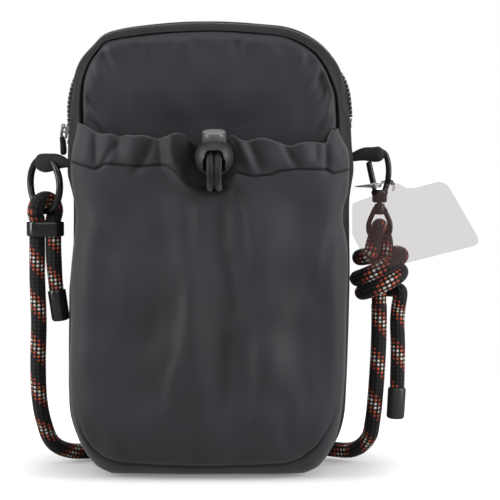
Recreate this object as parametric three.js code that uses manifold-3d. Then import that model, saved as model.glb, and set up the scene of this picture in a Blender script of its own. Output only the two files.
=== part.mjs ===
// Upright crossbody phone pouch with a gathered front pocket, a ball cord lock, a zip over the top,
// a ring, a swivel snap hook, a clear tag and a rope strap. Millimetres, +Z up, front towards -Y.
import * as THREE from "three";
import { mergeVertices } from "three/addons/utils/BufferGeometryUtils.js";
import Module from "manifold-3d";

// Bag body
const BAG_WIDTH = 132;
const BAG_HEIGHT = 213;
const BAG_DEPTH = 36;
const BASE_WIDTH = 76;
const CORNER_RISE = 48;
const SHOULDER_RADIUS = 38;
const SHOULDER_SWEEP = 78;
const EDGE_ROLL = 6.5;
const CLOTH = 1.6;
const PANEL_DOME = 2.4;
const SEAM_GAP = 0.35;

// Zip
const ZIP_WIDTH = 10;
const ZIP_SLOT = 2.4;
const TOOTH_PITCH = 3.2;
const TOOTH_REACH = 2.5;
const TOOTH_HEIGHT = 1.2;
const ZIP_END_DROP_LEFT = 17;
const ZIP_END_DROP_RIGHT = 8;
const SLIDER_LENGTH = 8.2;
const PULL_LENGTH = 8;

// Front pocket and its hem
const POCKET_DROP = 54;
const POCKET_ROUND = 34;
const HEM_HEIGHT = 13;
const HEM_THICK = 5.4;
const POCKET_SEAM_Y = -15.2;
const POCKET_BULGE = 21;
const MOUTH_BULGE = 18.6;
const POCKET_EDGE_INSET = 1.2;
const DRAPE_DEPTH = 2.4;

// Cord lock and drawcord
const LOCK_DIAMETER = 17.8;
const LOCK_X = 2.35;
const BUTTON_DIAMETER = 10.6;
const BUTTON_RISE = 3.7;
const BUTTON_TRAVEL = 3;
const CORD_DIAMETER = 3.3;

// Strap, ring, hook and tag
const ROPE_DIAMETER = 7.4;
const TAB_DROP = 64.6;
const RING_DIAMETER = 28.4;
const RING_WIRE = 3.3;
const RING_TURN = 53;
const RING_OFFSET = 11.5;
const HOOK_OFFSET = 14.2;
const HOOK_WIRE = 2.8;
const NECK_DIAMETER = 7;
const EYE_HALF = 5.7;
const KNOT_RADIUS = 10.2;
const KNOT_TURNS = 2.73;
const KNOT_LENGTH = 32.2;
const KNOT_SLANT = 0.29;
const LEFT_TAIL = 28.5;
const RIGHT_TAIL = 43;
const COIL_RADIUS = 46;
const COIL_PITCH = 8.2;
const COIL_TURNS = 3;
const TAG_THICK = 0.7;
const FIT = 0.3;

const wasm = await Module();
wasm.setup();
const rad = THREE.MathUtils.degToRad;
const vec = (x, y, z) => new THREE.Vector3(x, y, z);
const group = new THREE.Group();

// Materials
const paint = (color, roughness, metalness = 0) =>
  new THREE.MeshStandardMaterial({ color, roughness, metalness });
const NYLON = paint(0x3b3a3e, 0.75);
const WEBBING = paint(0x1c1c1d, 0.8);
const TOOTH = paint(0x2a2a2c, 0.45);
const ROPE = paint(0x1b1a1b, 0.85);
const CORD = paint(0x2b302c, 0.7);
const BLACK_METAL = paint(0x141414, 0.3, 0.8);
const GUNMETAL = paint(0x6d6c70, 0.35, 0.9);
const SATIN_PLASTIC = paint(0x47464a, 0.5);
const GLOSS_PLASTIC = paint(0x0d0d0e, 0.15);
const CLEAR = paint(0xe2ddda, 0.1);
const STEEL = paint(0xb9babd, 0.3, 1);

// Solid helpers
function solidOf(geometry) {
  const flat = geometry.index ? geometry.toNonIndexed() : geometry;
  const bare = new THREE.BufferGeometry().setAttribute("position", flat.getAttribute("position"));
  const merged = mergeVertices(bare, 1e-4);
  const vertProperties = new Float32Array(merged.attributes.position.array);
  const triVerts = new Uint32Array(merged.index.array);
  return new wasm.Manifold(new wasm.Mesh({ numProp: 3, vertProperties, triVerts }));
}

function geometryOf(solid) {
  const m = solid.getMesh();
  const v = new Float32Array(m.numVert * 3);
  for (let i = 0; i < m.numVert; i++) {
    v.set(m.vertProperties.subarray(i * m.numProp, i * m.numProp + 3), i * 3);
  }
  const geometry = new THREE.BufferGeometry();
  geometry.setAttribute("position", new THREE.BufferAttribute(v, 3));
  geometry.setIndex(new THREE.BufferAttribute(new Uint32Array(m.triVerts), 1));
  return geometry;
}

const cut = (base, ...tools) =>
  geometryOf(tools.reduce((left, tool) => left.subtract(solidOf(tool)), solidOf(base)));
const join = (base, ...more) =>
  geometryOf(more.reduce((sum, piece) => sum.add(solidOf(piece)), solidOf(base)));

function add(name, geometry, material) {
  const mesh = new THREE.Mesh(geometry, material);
  mesh.name = name;
  group.add(mesh);
  return mesh;
}

// Triangles of one flat end loop, wound along the loop.
function capFaces(loop) {
  const normal = vec(0, 0, 0);
  loop.forEach((p, i) => normal.add(p.clone().cross(loop[(i + 1) % loop.length])));
  normal.normalize();
  const u = Math.abs(normal.x) > 0.8 ? vec(0, 1, 0) : vec(1, 0, 0);
  u.addScaledVector(normal, -u.dot(normal)).normalize();
  const v = normal.clone().cross(u);
  const flat = loop.map((p) => new THREE.Vector2(p.dot(u), p.dot(v)));
  return THREE.ShapeUtils.triangulateShape(flat, []).map(([a, b, c]) => {
    const side = flat[b].clone().sub(flat[a]).cross(flat[c].clone().sub(flat[a]));
    return side > 0 ? [a, b, c] : [a, c, b];
  });
}

// A closed solid through loops of equal length; ring = true joins the last loop to the first.
function loft(loops, ring = false) {
  const n = loops[0].length;
  const faces = [];
  const last = ring ? loops.length : loops.length - 1;
  for (let i = 0; i < last; i++) {
    const next = (i + 1) % loops.length;
    for (let j = 0; j < n; j++) {
      const k = (j + 1) % n;
      faces.push([i * n + j, i * n + k, next * n + k]);
      faces.push([i * n + j, next * n + k, next * n + j]);
    }
  }
  if (!ring) {
    const end = (loops.length - 1) * n;
    capFaces(loops[0]).forEach(([a, b, c]) => faces.push([a, c, b]));
    capFaces(loops[loops.length - 1]).forEach(([a, b, c]) => faces.push([end + a, end + b, end + c]));
  }
  const points = loops.flat();
  const volume = faces.reduce(
    (sum, [a, b, c]) => sum + points[a].dot(points[b].clone().cross(points[c])), 0);
  const geometry = new THREE.BufferGeometry().setFromPoints(points);
  geometry.setIndex(faces.flatMap(([a, b, c]) => (volume > 0 ? [a, b, c] : [a, c, b])));
  return geometry;
}

// A round tube through given points; the radius may change along it.
function tube(points, radius, sides, ring = false) {
  const n = points.length;
  const tangents = points.map((p, i) => {
    const before = ring ? points[(i + n - 1) % n] : points[Math.max(i - 1, 0)];
    const after = ring ? points[(i + 1) % n] : points[Math.min(i + 1, n - 1)];
    return after.clone().sub(before).normalize();
  });
  let side = Math.abs(tangents[0].z) > 0.8 ? vec(1, 0, 0) : vec(0, 0, 1);
  const loops = points.map((p, i) => {
    side = side.clone().addScaledVector(tangents[i], -side.dot(tangents[i])).normalize();
    const other = tangents[i].clone().cross(side);
    const r = typeof radius === "function" ? radius(i / (n - 1)) : radius;
    return Array.from({ length: sides }, (_, k) => {
      const a = (2 * Math.PI * (k + 0.5)) / sides;
      return p.clone().addScaledVector(side, r * Math.cos(a)).addScaledVector(other, r * Math.sin(a));
    });
  });
  return loft(loops, ring);
}

const smooth = (points, steps) =>
  new THREE.CatmullRomCurve3(points, false, "centripetal").getSpacedPoints(steps);

// A solid of revolution about Z from a closed list of [radius, z].
const lathe = (profile, sides) =>
  new THREE.LatheGeometry(profile.map(([r, z]) => new THREE.Vector2(r, z)), sides).rotateX(Math.PI / 2);

// A flat outline of [u, v] points pushed along one axis from a to b.
function prism(outline, axis, a, b) {
  const place = {
    x: (d) => outline.map(([u, v]) => vec(d, u, v)),
    y: (d) => outline.map(([u, v]) => vec(u, d, v)),
    z: (d) => outline.map(([u, v]) => vec(u, v, d)),
  }[axis];
  return loft([place(a), place(b)]);
}

const block = (x0, x1, y0, y1, z0, z1) =>
  prism([[x0, y0], [x1, y0], [x1, y1], [x0, y1]], "z", z0, z1);

const round = (cx, cy, r, sides, from = 0, to = 360) =>
  Array.from({ length: sides }, (_, k) => {
    const a = rad(from + ((to - from) * k) / (to - from === 360 ? sides : sides - 1));
    return [cx + r * Math.cos(a), cy + r * Math.sin(a)];
  });

const spread = (from, to, steps) =>
  Array.from({ length: steps + 1 }, (_, i) => from + ((to - from) * i) / steps);

// Bag outline seen from the front
const HALF = BAG_WIDTH / 2;
const HALF_DEPTH = BAG_DEPTH / 2;
const BASE_HALF = BASE_WIDTH / 2;
const SWEEP = rad(SHOULDER_SWEEP);
const SHOULDER_X = HALF - SHOULDER_RADIUS;
const ARCH_RADIUS = SHOULDER_RADIUS + SHOULDER_X / Math.cos(SWEEP);
const ARCH_Z = BAG_HEIGHT - ARCH_RADIUS;
const SHOULDER_Z = ARCH_Z + SHOULDER_X * Math.tan(SWEEP);
const ZIP_LEFT_Z = SHOULDER_Z - ZIP_END_DROP_LEFT;
const ZIP_RIGHT_Z = SHOULDER_Z - ZIP_END_DROP_RIGHT;

const mirror = ({ x, z, nx, nz }) => ({ x: -x, z, nx: -nx, nz });

function cornerAt(t) {
  const nx = Math.sin(t) / (HALF - BASE_HALF);
  const nz = -Math.cos(t) / CORNER_RISE;
  const size = Math.hypot(nx, nz);
  const x = BASE_HALF + (HALF - BASE_HALF) * Math.sin(t);
  return { x, z: CORNER_RISE * (1 - Math.cos(t)), nx: nx / size, nz: nz / size };
}

// The outline from the left side down, under the base and up to the right side.
function lowerRun(leftZ, rightZ) {
  const corner = spread(0, Math.PI / 2, 7).map(cornerAt);
  const side = (z) => ({ x: HALF, z, nx: 1, nz: 0 });
  const left = spread(leftZ, CORNER_RISE, 3).slice(0, -1).map(side).map(mirror);
  const right = spread(CORNER_RISE, rightZ, 3).slice(1).map(side);
  const middle = { x: 0, z: 0, nx: 0, nz: -1 };
  return [...left, ...corner.map(mirror).reverse(), middle, ...corner, ...right];
}

// The outline over the top, by the distance s from the left end of the zip.
const SHOULDER_ARC = SHOULDER_RADIUS * SWEEP;
const ARCH_ARC = 2 * ARCH_RADIUS * (Math.PI / 2 - SWEEP);
const ZIP_LENGTH = ZIP_END_DROP_LEFT + 2 * SHOULDER_ARC + ARCH_ARC + ZIP_END_DROP_RIGHT;

function upperAt(s) {
  const arcOf = (cx, cz, r, a) => {
    const nx = Math.cos(a);
    const nz = Math.sin(a);
    return { x: cx + r * nx, z: cz + r * nz, nx, nz };
  };
  let d = s - ZIP_END_DROP_LEFT;
  if (d <= 0) return { x: -HALF, z: SHOULDER_Z + d, nx: -1, nz: 0 };
  if (d <= SHOULDER_ARC) return arcOf(-SHOULDER_X, SHOULDER_Z, SHOULDER_RADIUS, Math.PI - d / SHOULDER_RADIUS);
  d -= SHOULDER_ARC;
  if (d <= ARCH_ARC) return arcOf(0, ARCH_Z, ARCH_RADIUS, Math.PI - SWEEP - d / ARCH_RADIUS);
  d -= ARCH_ARC;
  if (d <= SHOULDER_ARC) return arcOf(SHOULDER_X, SHOULDER_Z, SHOULDER_RADIUS, SWEEP - d / SHOULDER_RADIUS);
  return { x: HALF, z: SHOULDER_Z - (d - SHOULDER_ARC), nx: 1, nz: 0 };
}

const upperRun = (from, to, steps) => spread(from, to, steps).map(upperAt);

// The whole outline as one loop, moved in by an inset and shrunk about the middle of the bag.
const OUTLINE = [
  ...lowerRun(SHOULDER_Z, SHOULDER_Z),
  ...spread(ZIP_LENGTH - ZIP_END_DROP_RIGHT, ZIP_END_DROP_LEFT, 18).slice(1, -1).map(upperAt),
];
const MIDDLE_Z = BAG_HEIGHT / 2;
const ringAt = (y, inset, size = 1) =>
  OUTLINE.map(({ x, z, nx, nz }) =>
    vec(size * (x - nx * inset), y, MIDDLE_Z + size * (z - nz * inset - MIDDLE_Z)));

// How far the side cloth rolls in towards the seams.
const rollAt = (y) => EDGE_ROLL * Math.max(0, (Math.abs(y) / HALF_DEPTH - 0.55) / 0.45) ** 2;

// A profile of [y, inset] carried along part of the outline.
const carry = (run, profile) =>
  loft(run.map(({ x, z, nx, nz }, i) =>
    (typeof profile === "function" ? profile(i) : profile).map(([y, d]) => vec(x - nx * d, y, z - nz * d))));

// Cloth between two distances from the middle line: outer skin, then the skin one thickness in.
function clothProfile(y0, y1, steps) {
  const skin = spread(y0, y1, steps);
  const inner = skin.map((y) => {
    const slope = (rollAt(y + 0.01) - rollAt(y - 0.01)) / 0.02;
    const size = Math.hypot(1, slope);
    return [y - (CLOTH * slope) / size, rollAt(y) + CLOTH / size];
  });
  return [...skin.map((y) => [y, rollAt(y)]), ...inner.reverse()];
}

// Bottom and sides, and the two strips beside the zip
add("gusset_base", carry(lowerRun(ZIP_LEFT_Z - FIT, ZIP_RIGHT_Z - FIT), clothProfile(-HALF_DEPTH, HALF_DEPTH, 10)), NYLON);
const zipRun = upperRun(0, ZIP_LENGTH, 28);
const STRIP_EDGE = ZIP_WIDTH / 2;
add("zip_gusset_front", carry(zipRun, clothProfile(-HALF_DEPTH, -STRIP_EDGE, 5)), NYLON);
add("zip_gusset_back", carry(zipRun, clothProfile(STRIP_EDGE, HALF_DEPTH, 5)), NYLON);

// Zip tapes, teeth and stops
const TAPE_TOP = 0.5;
const tapeProfile = (side) =>
  [[ZIP_SLOT / 2, TAPE_TOP], [STRIP_EDGE - FIT, TAPE_TOP], [STRIP_EDGE - FIT, TAPE_TOP + 1], [ZIP_SLOT / 2, TAPE_TOP + 1]]
    .map(([y, d]) => [side * y, d]);
add("zip_tape_front", carry(zipRun, tapeProfile(-1)), WEBBING);
add("zip_tape_back", carry(zipRun, tapeProfile(1)), WEBBING);

const SLIDER_S = ZIP_END_DROP_LEFT - 9;
const CHAIN_FROM = SLIDER_S + SLIDER_LENGTH / 2 + 0.6;
const CHAIN_TO = ZIP_LENGTH - 4.6;
const toothCount = Math.floor((CHAIN_TO - CHAIN_FROM) / TOOTH_PITCH);
const chainRun = [];
const chainReach = [];
for (let i = 0; i < toothCount; i++) {
  const s = CHAIN_FROM + i * TOOTH_PITCH;
  chainRun.push(upperAt(s), upperAt(s + 0.55 * TOOTH_PITCH), upperAt(s + 0.68 * TOOTH_PITCH), upperAt(s + 0.87 * TOOTH_PITCH));
  chainReach.push(TOOTH_REACH, TOOTH_REACH, 0.6 * TOOTH_REACH, 0.6 * TOOTH_REACH);
}
const CHAIN_LOW = TAPE_TOP - FIT;
add("zip_chain", carry(chainRun, (i) => {
  const y = chainReach[i];
  return [[-y, CHAIN_LOW], [-y, CHAIN_LOW - TOOTH_HEIGHT], [y, CHAIN_LOW - TOOTH_HEIGHT], [y, CHAIN_LOW]];
}), TOOTH);

const stopProfile = [
  [-TOOTH_REACH, CHAIN_LOW], [-TOOTH_REACH, CHAIN_LOW - 0.6], [-TOOTH_REACH + 0.6, CHAIN_LOW - TOOTH_HEIGHT],
  [TOOTH_REACH - 0.6, CHAIN_LOW - TOOTH_HEIGHT], [TOOTH_REACH, CHAIN_LOW - 0.6], [TOOTH_REACH, CHAIN_LOW],
];
add("zip_stop_left", carry(upperRun(1, 2.8, 2), stopProfile), GUNMETAL);
add("zip_stop_right", carry(upperRun(CHAIN_TO + 0.6, CHAIN_TO + 2.4, 2), stopProfile), GUNMETAL);

// Front and back walls: a domed sheet whose rim laps the rolled edge of the sides
const RIM_INSET = EDGE_ROLL - 0.9;
const PANEL = CLOTH - 0.2;
const domeAt = (size) => HALF_DEPTH + SEAM_GAP + PANEL + PANEL_DOME * (1 - size ** 2);
function wall(side) {
  const sizes = [0.36, 0.72, 0.95];
  const under = sizes.map((f) => ringAt(side * (domeAt(f) - PANEL), RIM_INSET, f));
  const rim = [
    ringAt(side * (HALF_DEPTH + SEAM_GAP), RIM_INSET + 0.4),
    ringAt(side * (HALF_DEPTH + SEAM_GAP + 0.3), RIM_INSET),
    ringAt(side * (HALF_DEPTH + SEAM_GAP + 0.8), RIM_INSET),
  ];
  const over = sizes.map((f) => ringAt(side * domeAt(f), RIM_INSET, f)).reverse();
  return loft([...under, ...rim, ...over]);
}
add("front_panel", wall(-1), NYLON);
add("back_panel", wall(1), NYLON);

// The bag's outer form with a seam gap all round, for seating what is sewn to it
const BLANK = loft([
  ...[0.36, 0.72, 0.95].map((f) => ringAt(-domeAt(f) - SEAM_GAP, RIM_INSET - SEAM_GAP, f)),
  ringAt(-HALF_DEPTH - SEAM_GAP - 0.9, RIM_INSET - SEAM_GAP),
  ringAt(-HALF_DEPTH, RIM_INSET - SEAM_GAP),
  ...[-0.94, -0.88, -0.78, -0.66, -0.55, 0, 0.55, 0.66, 0.8].map((s) =>
    ringAt(s * HALF_DEPTH, rollAt(s * HALF_DEPTH) - SEAM_GAP)),
]);

// Front pocket: half-round sections that grow from the base seam and stay open at the mouth
const edgeRun = lowerRun(SHOULDER_Z, SHOULDER_Z)
  .filter(({ x }) => x >= BASE_HALF)
  .map(({ x, z, nx, nz }) => [x - nx * POCKET_EDGE_INSET, z - nz * POCKET_EDGE_INSET]);

function pocketHalf(z) {
  if (z <= edgeRun[0][1]) return edgeRun[0][0];
  const at = edgeRun.findIndex(([, high]) => high >= z);
  const [x0, z0] = edgeRun[at - 1];
  const [x1, z1] = edgeRun[at];
  return x0 + ((x1 - x0) * (z - z0)) / (z1 - z0);
}

const POCKET_TOP = BAG_HEIGHT - POCKET_DROP;
const POCKET_BASE = POCKET_EDGE_INSET;
const POCKET_BELLY = 0.53 * POCKET_TOP;
function pocketBulge(z) {
  if (z < POCKET_BASE + POCKET_ROUND) {
    const cosine = 1 - (z - POCKET_BASE) / POCKET_ROUND;
    return POCKET_BULGE * Math.sqrt(1 - cosine ** 2);
  }
  if (z < POCKET_BELLY) return POCKET_BULGE;
  const rise = Math.min((z - POCKET_BELLY) / (POCKET_TOP - POCKET_BELLY), 1);
  return MOUTH_BULGE + (POCKET_BULGE - MOUTH_BULGE) * Math.cos((rise * Math.PI) / 2) ** 2;
}

// Upright drapes of the pocket face: [share of the depth, half width, place at the hem, place at the base],
// the last three as shares of half the bag's width
const DRAPES = [
  [0.6, 0.11, -0.88, -0.89], [-0.85, 0.15, -0.53, -0.5], [1, 0.095, -0.2, -0.1], [-0.95, 0.07, 0.07, 0.11],
  [1.1, 0.125, 0.31, 0.42], [-0.75, 0.135, 0.7, 0.71], [0.5, 0.09, 0.91, 0.91],
];
function drapeAt(x, z) {
  const up = z / (POCKET_TOP - HEM_HEIGHT);
  const fade = THREE.MathUtils.smoothstep(up, 0.1, 0.4) * (1 - THREE.MathUtils.smoothstep(up, 0.84, 0.99));
  return DRAPES.reduce((sum, [high, wide, top, low]) => {
    const middle = low + (top - low) * THREE.MathUtils.smoothstep(up, 0.35, 1);
    return sum + DRAPE_DEPTH * fade * high * Math.exp(-(((x / HALF - middle) / wide) ** 2));
  }, 0);
}

// One section of the pocket at a height; depth thins it, back pushes its open side into the bag.
const power = (v) => Math.sign(v) * Math.abs(v) ** (2 / 3);
function pocketLoop(z, shapeZ, depth, back) {
  const w = pocketHalf(shapeZ) - depth;
  const b = Math.max(pocketBulge(shapeZ) - depth, 0.05);
  const front = spread(90, -90, 30).map((deg) => {
    const across = Math.sin(rad(deg));
    const out = Math.cbrt(Math.max(1 - Math.abs(across) ** 3, 0));
    const x = w * across;
    return vec(x, POCKET_SEAM_Y - out * (b + Math.min(out * 1.6, 1) * drapeAt(x, shapeZ)), z);
  });
  return [vec(w, POCKET_SEAM_Y + back, z), ...front, vec(-w, POCKET_SEAM_Y + back, z)];
}

const BACK_EDGE = 0.6;
const HEM_LOW = POCKET_TOP - HEM_HEIGHT;
const levels = [0.004, 0.015, 0.035, 0.07, 0.118, 0.18, 0.262, 0.387, 0.553, 0.718, 0.87]
  .map((f) => POCKET_BASE + f * (HEM_LOW - POCKET_BASE));
const pocketOut = loft([...levels, HEM_LOW].map((z) => pocketLoop(z, z, 0, BACK_EDGE)));
const pocketIn = loft(
  [...levels.slice(1), HEM_LOW + 4].map((z) => pocketLoop(z, Math.min(z, HEM_LOW), CLOTH, 8)));
add("pocket_panel", cut(pocketOut, pocketIn, BLANK), NYLON);

// Drawcord: from each side seam through the hem, out at the front, through the lock and down
const HEM_MID = HEM_LOW + HEM_HEIGHT / 2;
const LOCK_Z = HEM_MID + 1.9;
const CORD_Z = LOCK_Z + 1.5;
const CORD_APART = CORD_DIAMETER / 2 + 0.35;
const HEM_FRONT = POCKET_SEAM_Y - pocketBulge(HEM_MID);
const LOCK_RADIUS = LOCK_DIAMETER / 2;
const LOCK_Y = HEM_FRONT - LOCK_RADIUS - 0.4;
const BORE_RADIUS = BUTTON_DIAMETER / 2 + FIT;
const CORD_FRONT = LOCK_Y - BORE_RADIUS - CORD_DIAMETER / 2 - 1;

function cordRoute(side) {
  const exit = LOCK_X + side * CORD_APART;
  const depth = HEM_THICK / 2;
  const turns = [16, 26, 36, 46, 56, 66, 75].map(rad).map((a) => (side > 0 ? a : Math.PI - a));
  const inHem = turns.map((a) =>
    vec((pocketHalf(HEM_MID) - depth) * power(Math.cos(a)),
      POCKET_SEAM_Y - (pocketBulge(HEM_MID) - depth) * power(Math.sin(a)), CORD_Z));
  return [
    ...inHem,
    vec(exit + side * 8, HEM_FRONT + depth, CORD_Z),
    vec(exit + side * 2.2, HEM_FRONT + depth - 0.9, CORD_Z),
    vec(exit, HEM_FRONT - 0.6, CORD_Z),
    vec(exit, LOCK_Y, CORD_Z),
    vec(exit, LOCK_Y - BORE_RADIUS - 0.4, CORD_Z - 0.2),
    vec(exit, CORD_FRONT + 0.1, CORD_Z - 2.8),
    vec(exit, CORD_FRONT, CORD_Z - 7),
    vec(exit, CORD_FRONT + 2, CORD_Z - 11.5),
    vec(exit, CORD_FRONT + 7, CORD_Z - 15),
    vec(exit, HEM_FRONT - 3, CORD_Z - 17.5),
  ];
}
const cordLine = { left: smooth(cordRoute(-1), 44), right: smooth(cordRoute(1), 44) };
const cordHole = (line) => tube(line, CORD_DIAMETER / 2 + 0.4, 8);
add("drawcord_left", tube(cordLine.left, CORD_DIAMETER / 2, 7), CORD);
add("drawcord_right", tube(cordLine.right, CORD_DIAMETER / 2, 7), CORD);

// Gathered hem: a thick band with a tunnel for the cords
const hemLevels = [HEM_LOW + FIT, HEM_MID, POCKET_TOP];
const hemOut = loft(hemLevels.map((z) => pocketLoop(z, z, 0, BACK_EDGE)));
const hemIn = loft([HEM_LOW - 3, POCKET_TOP + 3].map((z) => pocketLoop(z, HEM_MID, HEM_THICK, 8)));
add("pocket_casing", cut(hemOut, hemIn, cordHole(cordLine.left), cordHole(cordLine.right), BLANK), NYLON);

// Cord lock: ball with a stepped bore from the top, a cross hole and an arched front
const lockAt = (geometry) => geometry.translate(LOCK_X, LOCK_Y, LOCK_Z);
const BORE_FLOOR = -LOCK_RADIUS + 3.2;
const SPRING_FLOOR = -LOCK_RADIUS + 1.4;
const SPRING_RADIUS = 2.4;
const ball = lathe(
  spread(-90, 90, 12).map((a) => [LOCK_RADIUS * Math.cos(rad(a)), LOCK_RADIUS * Math.sin(rad(a))]), 24);
const bore = lathe([
  [0, SPRING_FLOOR], [SPRING_RADIUS + 0.8, SPRING_FLOOR], [SPRING_RADIUS + 0.8, BORE_FLOOR],
  [BORE_RADIUS, BORE_FLOOR], [BORE_RADIUS, LOCK_RADIUS + 3], [0, LOCK_RADIUS + 3],
], 24);
const HOLE_HALF = CORD_APART + CORD_DIAMETER / 2 + 0.4;
const holeShape = (low, high) => [
  [-HOLE_HALF, low + 0.8], [-HOLE_HALF + 0.8, low], [HOLE_HALF - 0.8, low], [HOLE_HALF, low + 0.8],
  [HOLE_HALF, high - 0.8], [HOLE_HALF - 0.8, high], [-HOLE_HALF + 0.8, high], [-HOLE_HALF, high - 0.8],
];
const CORD_LOW = CORD_Z - LOCK_Z - CORD_DIAMETER / 2;
const crossHole = prism(holeShape(CORD_LOW - 0.5, CORD_LOW + CORD_DIAMETER + 0.9), "y", -20, 20);
const ARCH_HALF = 5.15;
const archShape = [[-ARCH_HALF, -LOCK_RADIUS + 2.8], [ARCH_HALF, -LOCK_RADIUS + 2.8],
  ...round(0, -2.2, ARCH_HALF, 9, 0, 180)];
const archCut = prism(archShape, "y", -20, -BORE_RADIUS - 0.4);
add("lock_body", lockAt(cut(ball, bore, crossHole, archCut)), SATIN_PLASTIC);

const BUTTON_LOW = CORD_LOW - 2.4;
const BUTTON_TOP = LOCK_RADIUS + BUTTON_RISE;
const BUTTON_RADIUS = BUTTON_DIAMETER / 2;
const button = lathe([
  [0, BUTTON_LOW], [BUTTON_RADIUS - 0.4, BUTTON_LOW], [BUTTON_RADIUS, BUTTON_LOW + 0.4],
  [BUTTON_RADIUS, BUTTON_TOP - 0.9], [BUTTON_RADIUS - 0.3, BUTTON_TOP - 0.3], [BUTTON_RADIUS - 0.9, BUTTON_TOP],
  [0, BUTTON_TOP],
], 24);
const buttonHole = prism(
  holeShape(CORD_LOW - 0.3, CORD_LOW + CORD_DIAMETER + BUTTON_TRAVEL + 0.6), "y", -20, 20);
add("lock_plunger", lockAt(cut(button, buttonHole)), GUNMETAL);

const SPRING_CURLS = 3;
const springLow = SPRING_FLOOR + 0.55;
const springHigh = BUTTON_LOW - 0.55;
const springLine = spread(0, SPRING_CURLS, SPRING_CURLS * 8).map((u) =>
  vec(SPRING_RADIUS * Math.cos(2 * Math.PI * u), SPRING_RADIUS * Math.sin(2 * Math.PI * u),
    springLow + ((springHigh - springLow) * u) / SPRING_CURLS));
add("lock_spring", lockAt(tube(springLine, 0.3, 5)), STEEL);

// Zip slider on the left side: plates above and below the tapes, a neck between them and a bail
const SLIDER_Z = SHOULDER_Z - 9;
const wing = (scale) => [
  [-2.3, -SLIDER_LENGTH / 2], [2.3, -SLIDER_LENGTH / 2], [3.9, 0.6], [3.9, SLIDER_LENGTH / 2 - 0.8],
  [3.1, SLIDER_LENGTH / 2], [-3.1, SLIDER_LENGTH / 2], [-3.9, SLIDER_LENGTH / 2 - 0.8], [-3.9, 0.6],
].map(([y, z]) => [y * scale, SLIDER_Z + z * scale]);
const skin = -HALF;
const neckShape = [[0, -2.6], [0.85, -1.4], [0.85, 0], [0, 1.2], [-0.85, 0], [-0.85, -1.4]]
  .map(([y, z]) => [y, SLIDER_Z - 0.8 + z]);
const BAIL_HIGH = skin - 4.2;
const bailLine = smooth([
  vec(skin - 0.9, 0, SLIDER_Z - 2.2), vec(BAIL_HIGH + 0.5, 0, SLIDER_Z - 1.4), vec(BAIL_HIGH, 0, SLIDER_Z + 0.4),
  vec(BAIL_HIGH + 0.5, 0, SLIDER_Z + 2.2), vec(skin - 0.9, 0, SLIDER_Z + 3),
], 12);
add("zip_slider", join(
  prism(wing(1), "x", skin - 1.7, skin - 0.5),
  prism(neckShape, "x", skin - 1, skin + 5),
  prism(wing(0.72), "x", skin + 4.2, skin + 5.2),
  tube(bailLine, 0.65, 8)), GUNMETAL);

// Pull: a wire link through the bail and a moulded tab
const linkWire = 0.6;
const LINK_X = BAIL_HIGH + 1.6;
const LINK_TOP = SLIDER_Z + 0.6;
const linkDrop = 5.6;
const linkLine = smooth([
  vec(LINK_X - 2.1, -2.5, LINK_TOP - linkDrop), vec(LINK_X - 2.4, -2.5, LINK_TOP - 2.4),
  vec(LINK_X - 0.7, -1.9, LINK_TOP - 0.3), vec(LINK_X, 0, LINK_TOP), vec(LINK_X - 0.7, 1.9, LINK_TOP - 0.3),
  vec(LINK_X - 2.4, 2.5, LINK_TOP - 2.4), vec(LINK_X - 2.1, 2.5, LINK_TOP - linkDrop),
], 26);
const linkHole = tube(linkLine, linkWire + FIT, 8);
add("pull_link", tube(linkLine, linkWire, 6), GUNMETAL);
const tabTop = LINK_TOP - linkDrop + 1.6;
const tabX = LINK_X - 2.1;
const tabShape = [
  [tabX - 1.2, tabTop], [tabX + 1.1, tabTop], [tabX + 1.8, tabTop - 0.6 * PULL_LENGTH],
  [tabX + 2.1, tabTop - PULL_LENGTH], [tabX + 0.9, tabTop - PULL_LENGTH - 0.9], [tabX - 0.2, tabTop - PULL_LENGTH],
  [tabX - 0.9, tabTop - 0.5 * PULL_LENGTH],
];
add("pull_tab", cut(prism(tabShape, "y", -3.8, 3.8), linkHole), WEBBING);

// A soft tab: oval sections [x, y, z, half thickness, half height] square to its run
function sleeve(sections) {
  const centres = sections.map(([x, y, z]) => vec(x, y, z));
  return loft(sections.map(([, , , thick, high], i) => {
    const run = centres[Math.min(i + 1, centres.length - 1)].clone().sub(centres[Math.max(i - 1, 0)]);
    const across = vec(-run.y, run.x, 0).normalize();
    return spread(0, 360, 14).slice(0, -1).map((d) => {
      const a = rad(d);
      return centres[i].clone()
        .addScaledVector(across, thick * power(Math.cos(a)))
        .add(vec(0, 0, high * power(Math.sin(a))));
    });
  }));
}

// Left ring in its tab
const TAB_Z = BAG_HEIGHT - TAB_DROP;
const RING_X = -HALF - RING_OFFSET;
const RING_Y = -4;
const RING_RADIUS = (RING_DIAMETER - RING_WIRE) / 2;
const RING_Z = TAB_Z + 2.9 - RING_DIAMETER / 2;
const RING_LOW = RING_Z - RING_RADIUS;
const turn = rad(RING_TURN);
const ringSolid = (wire) =>
  new THREE.TorusGeometry(RING_RADIUS, wire / 2, 8, 30)
    .rotateX(Math.PI / 2).rotateZ(-turn).translate(RING_X, RING_Y, RING_Z);
add("left_ring", geometryOf(solidOf(ringSolid(RING_WIRE))), BLACK_METAL);
const leftSleeve = sleeve([
  [-HALF + 3, RING_Y - 8.6, TAB_Z, 1.3, 3.7],
  [-HALF - 1.6, RING_Y - 7.4, TAB_Z + 0.1, 1.4, 3.8],
  [RING_X + 5.8, RING_Y - 4.4, TAB_Z + 0.1, 2.3, 4],
  [RING_X + 2.2, RING_Y - 1.8, TAB_Z - 0.1, 3.3, 4.5],
  [RING_X - 1.4, RING_Y + 1.6, TAB_Z - 0.3, 3.4, 4.6],
  [RING_X - 3.4, RING_Y + 3.6, TAB_Z - 0.4, 2.9, 4],
]);
add("tab_left", cut(leftSleeve, ringSolid(RING_WIRE + 2 * FIT), BLANK), WEBBING);

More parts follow.
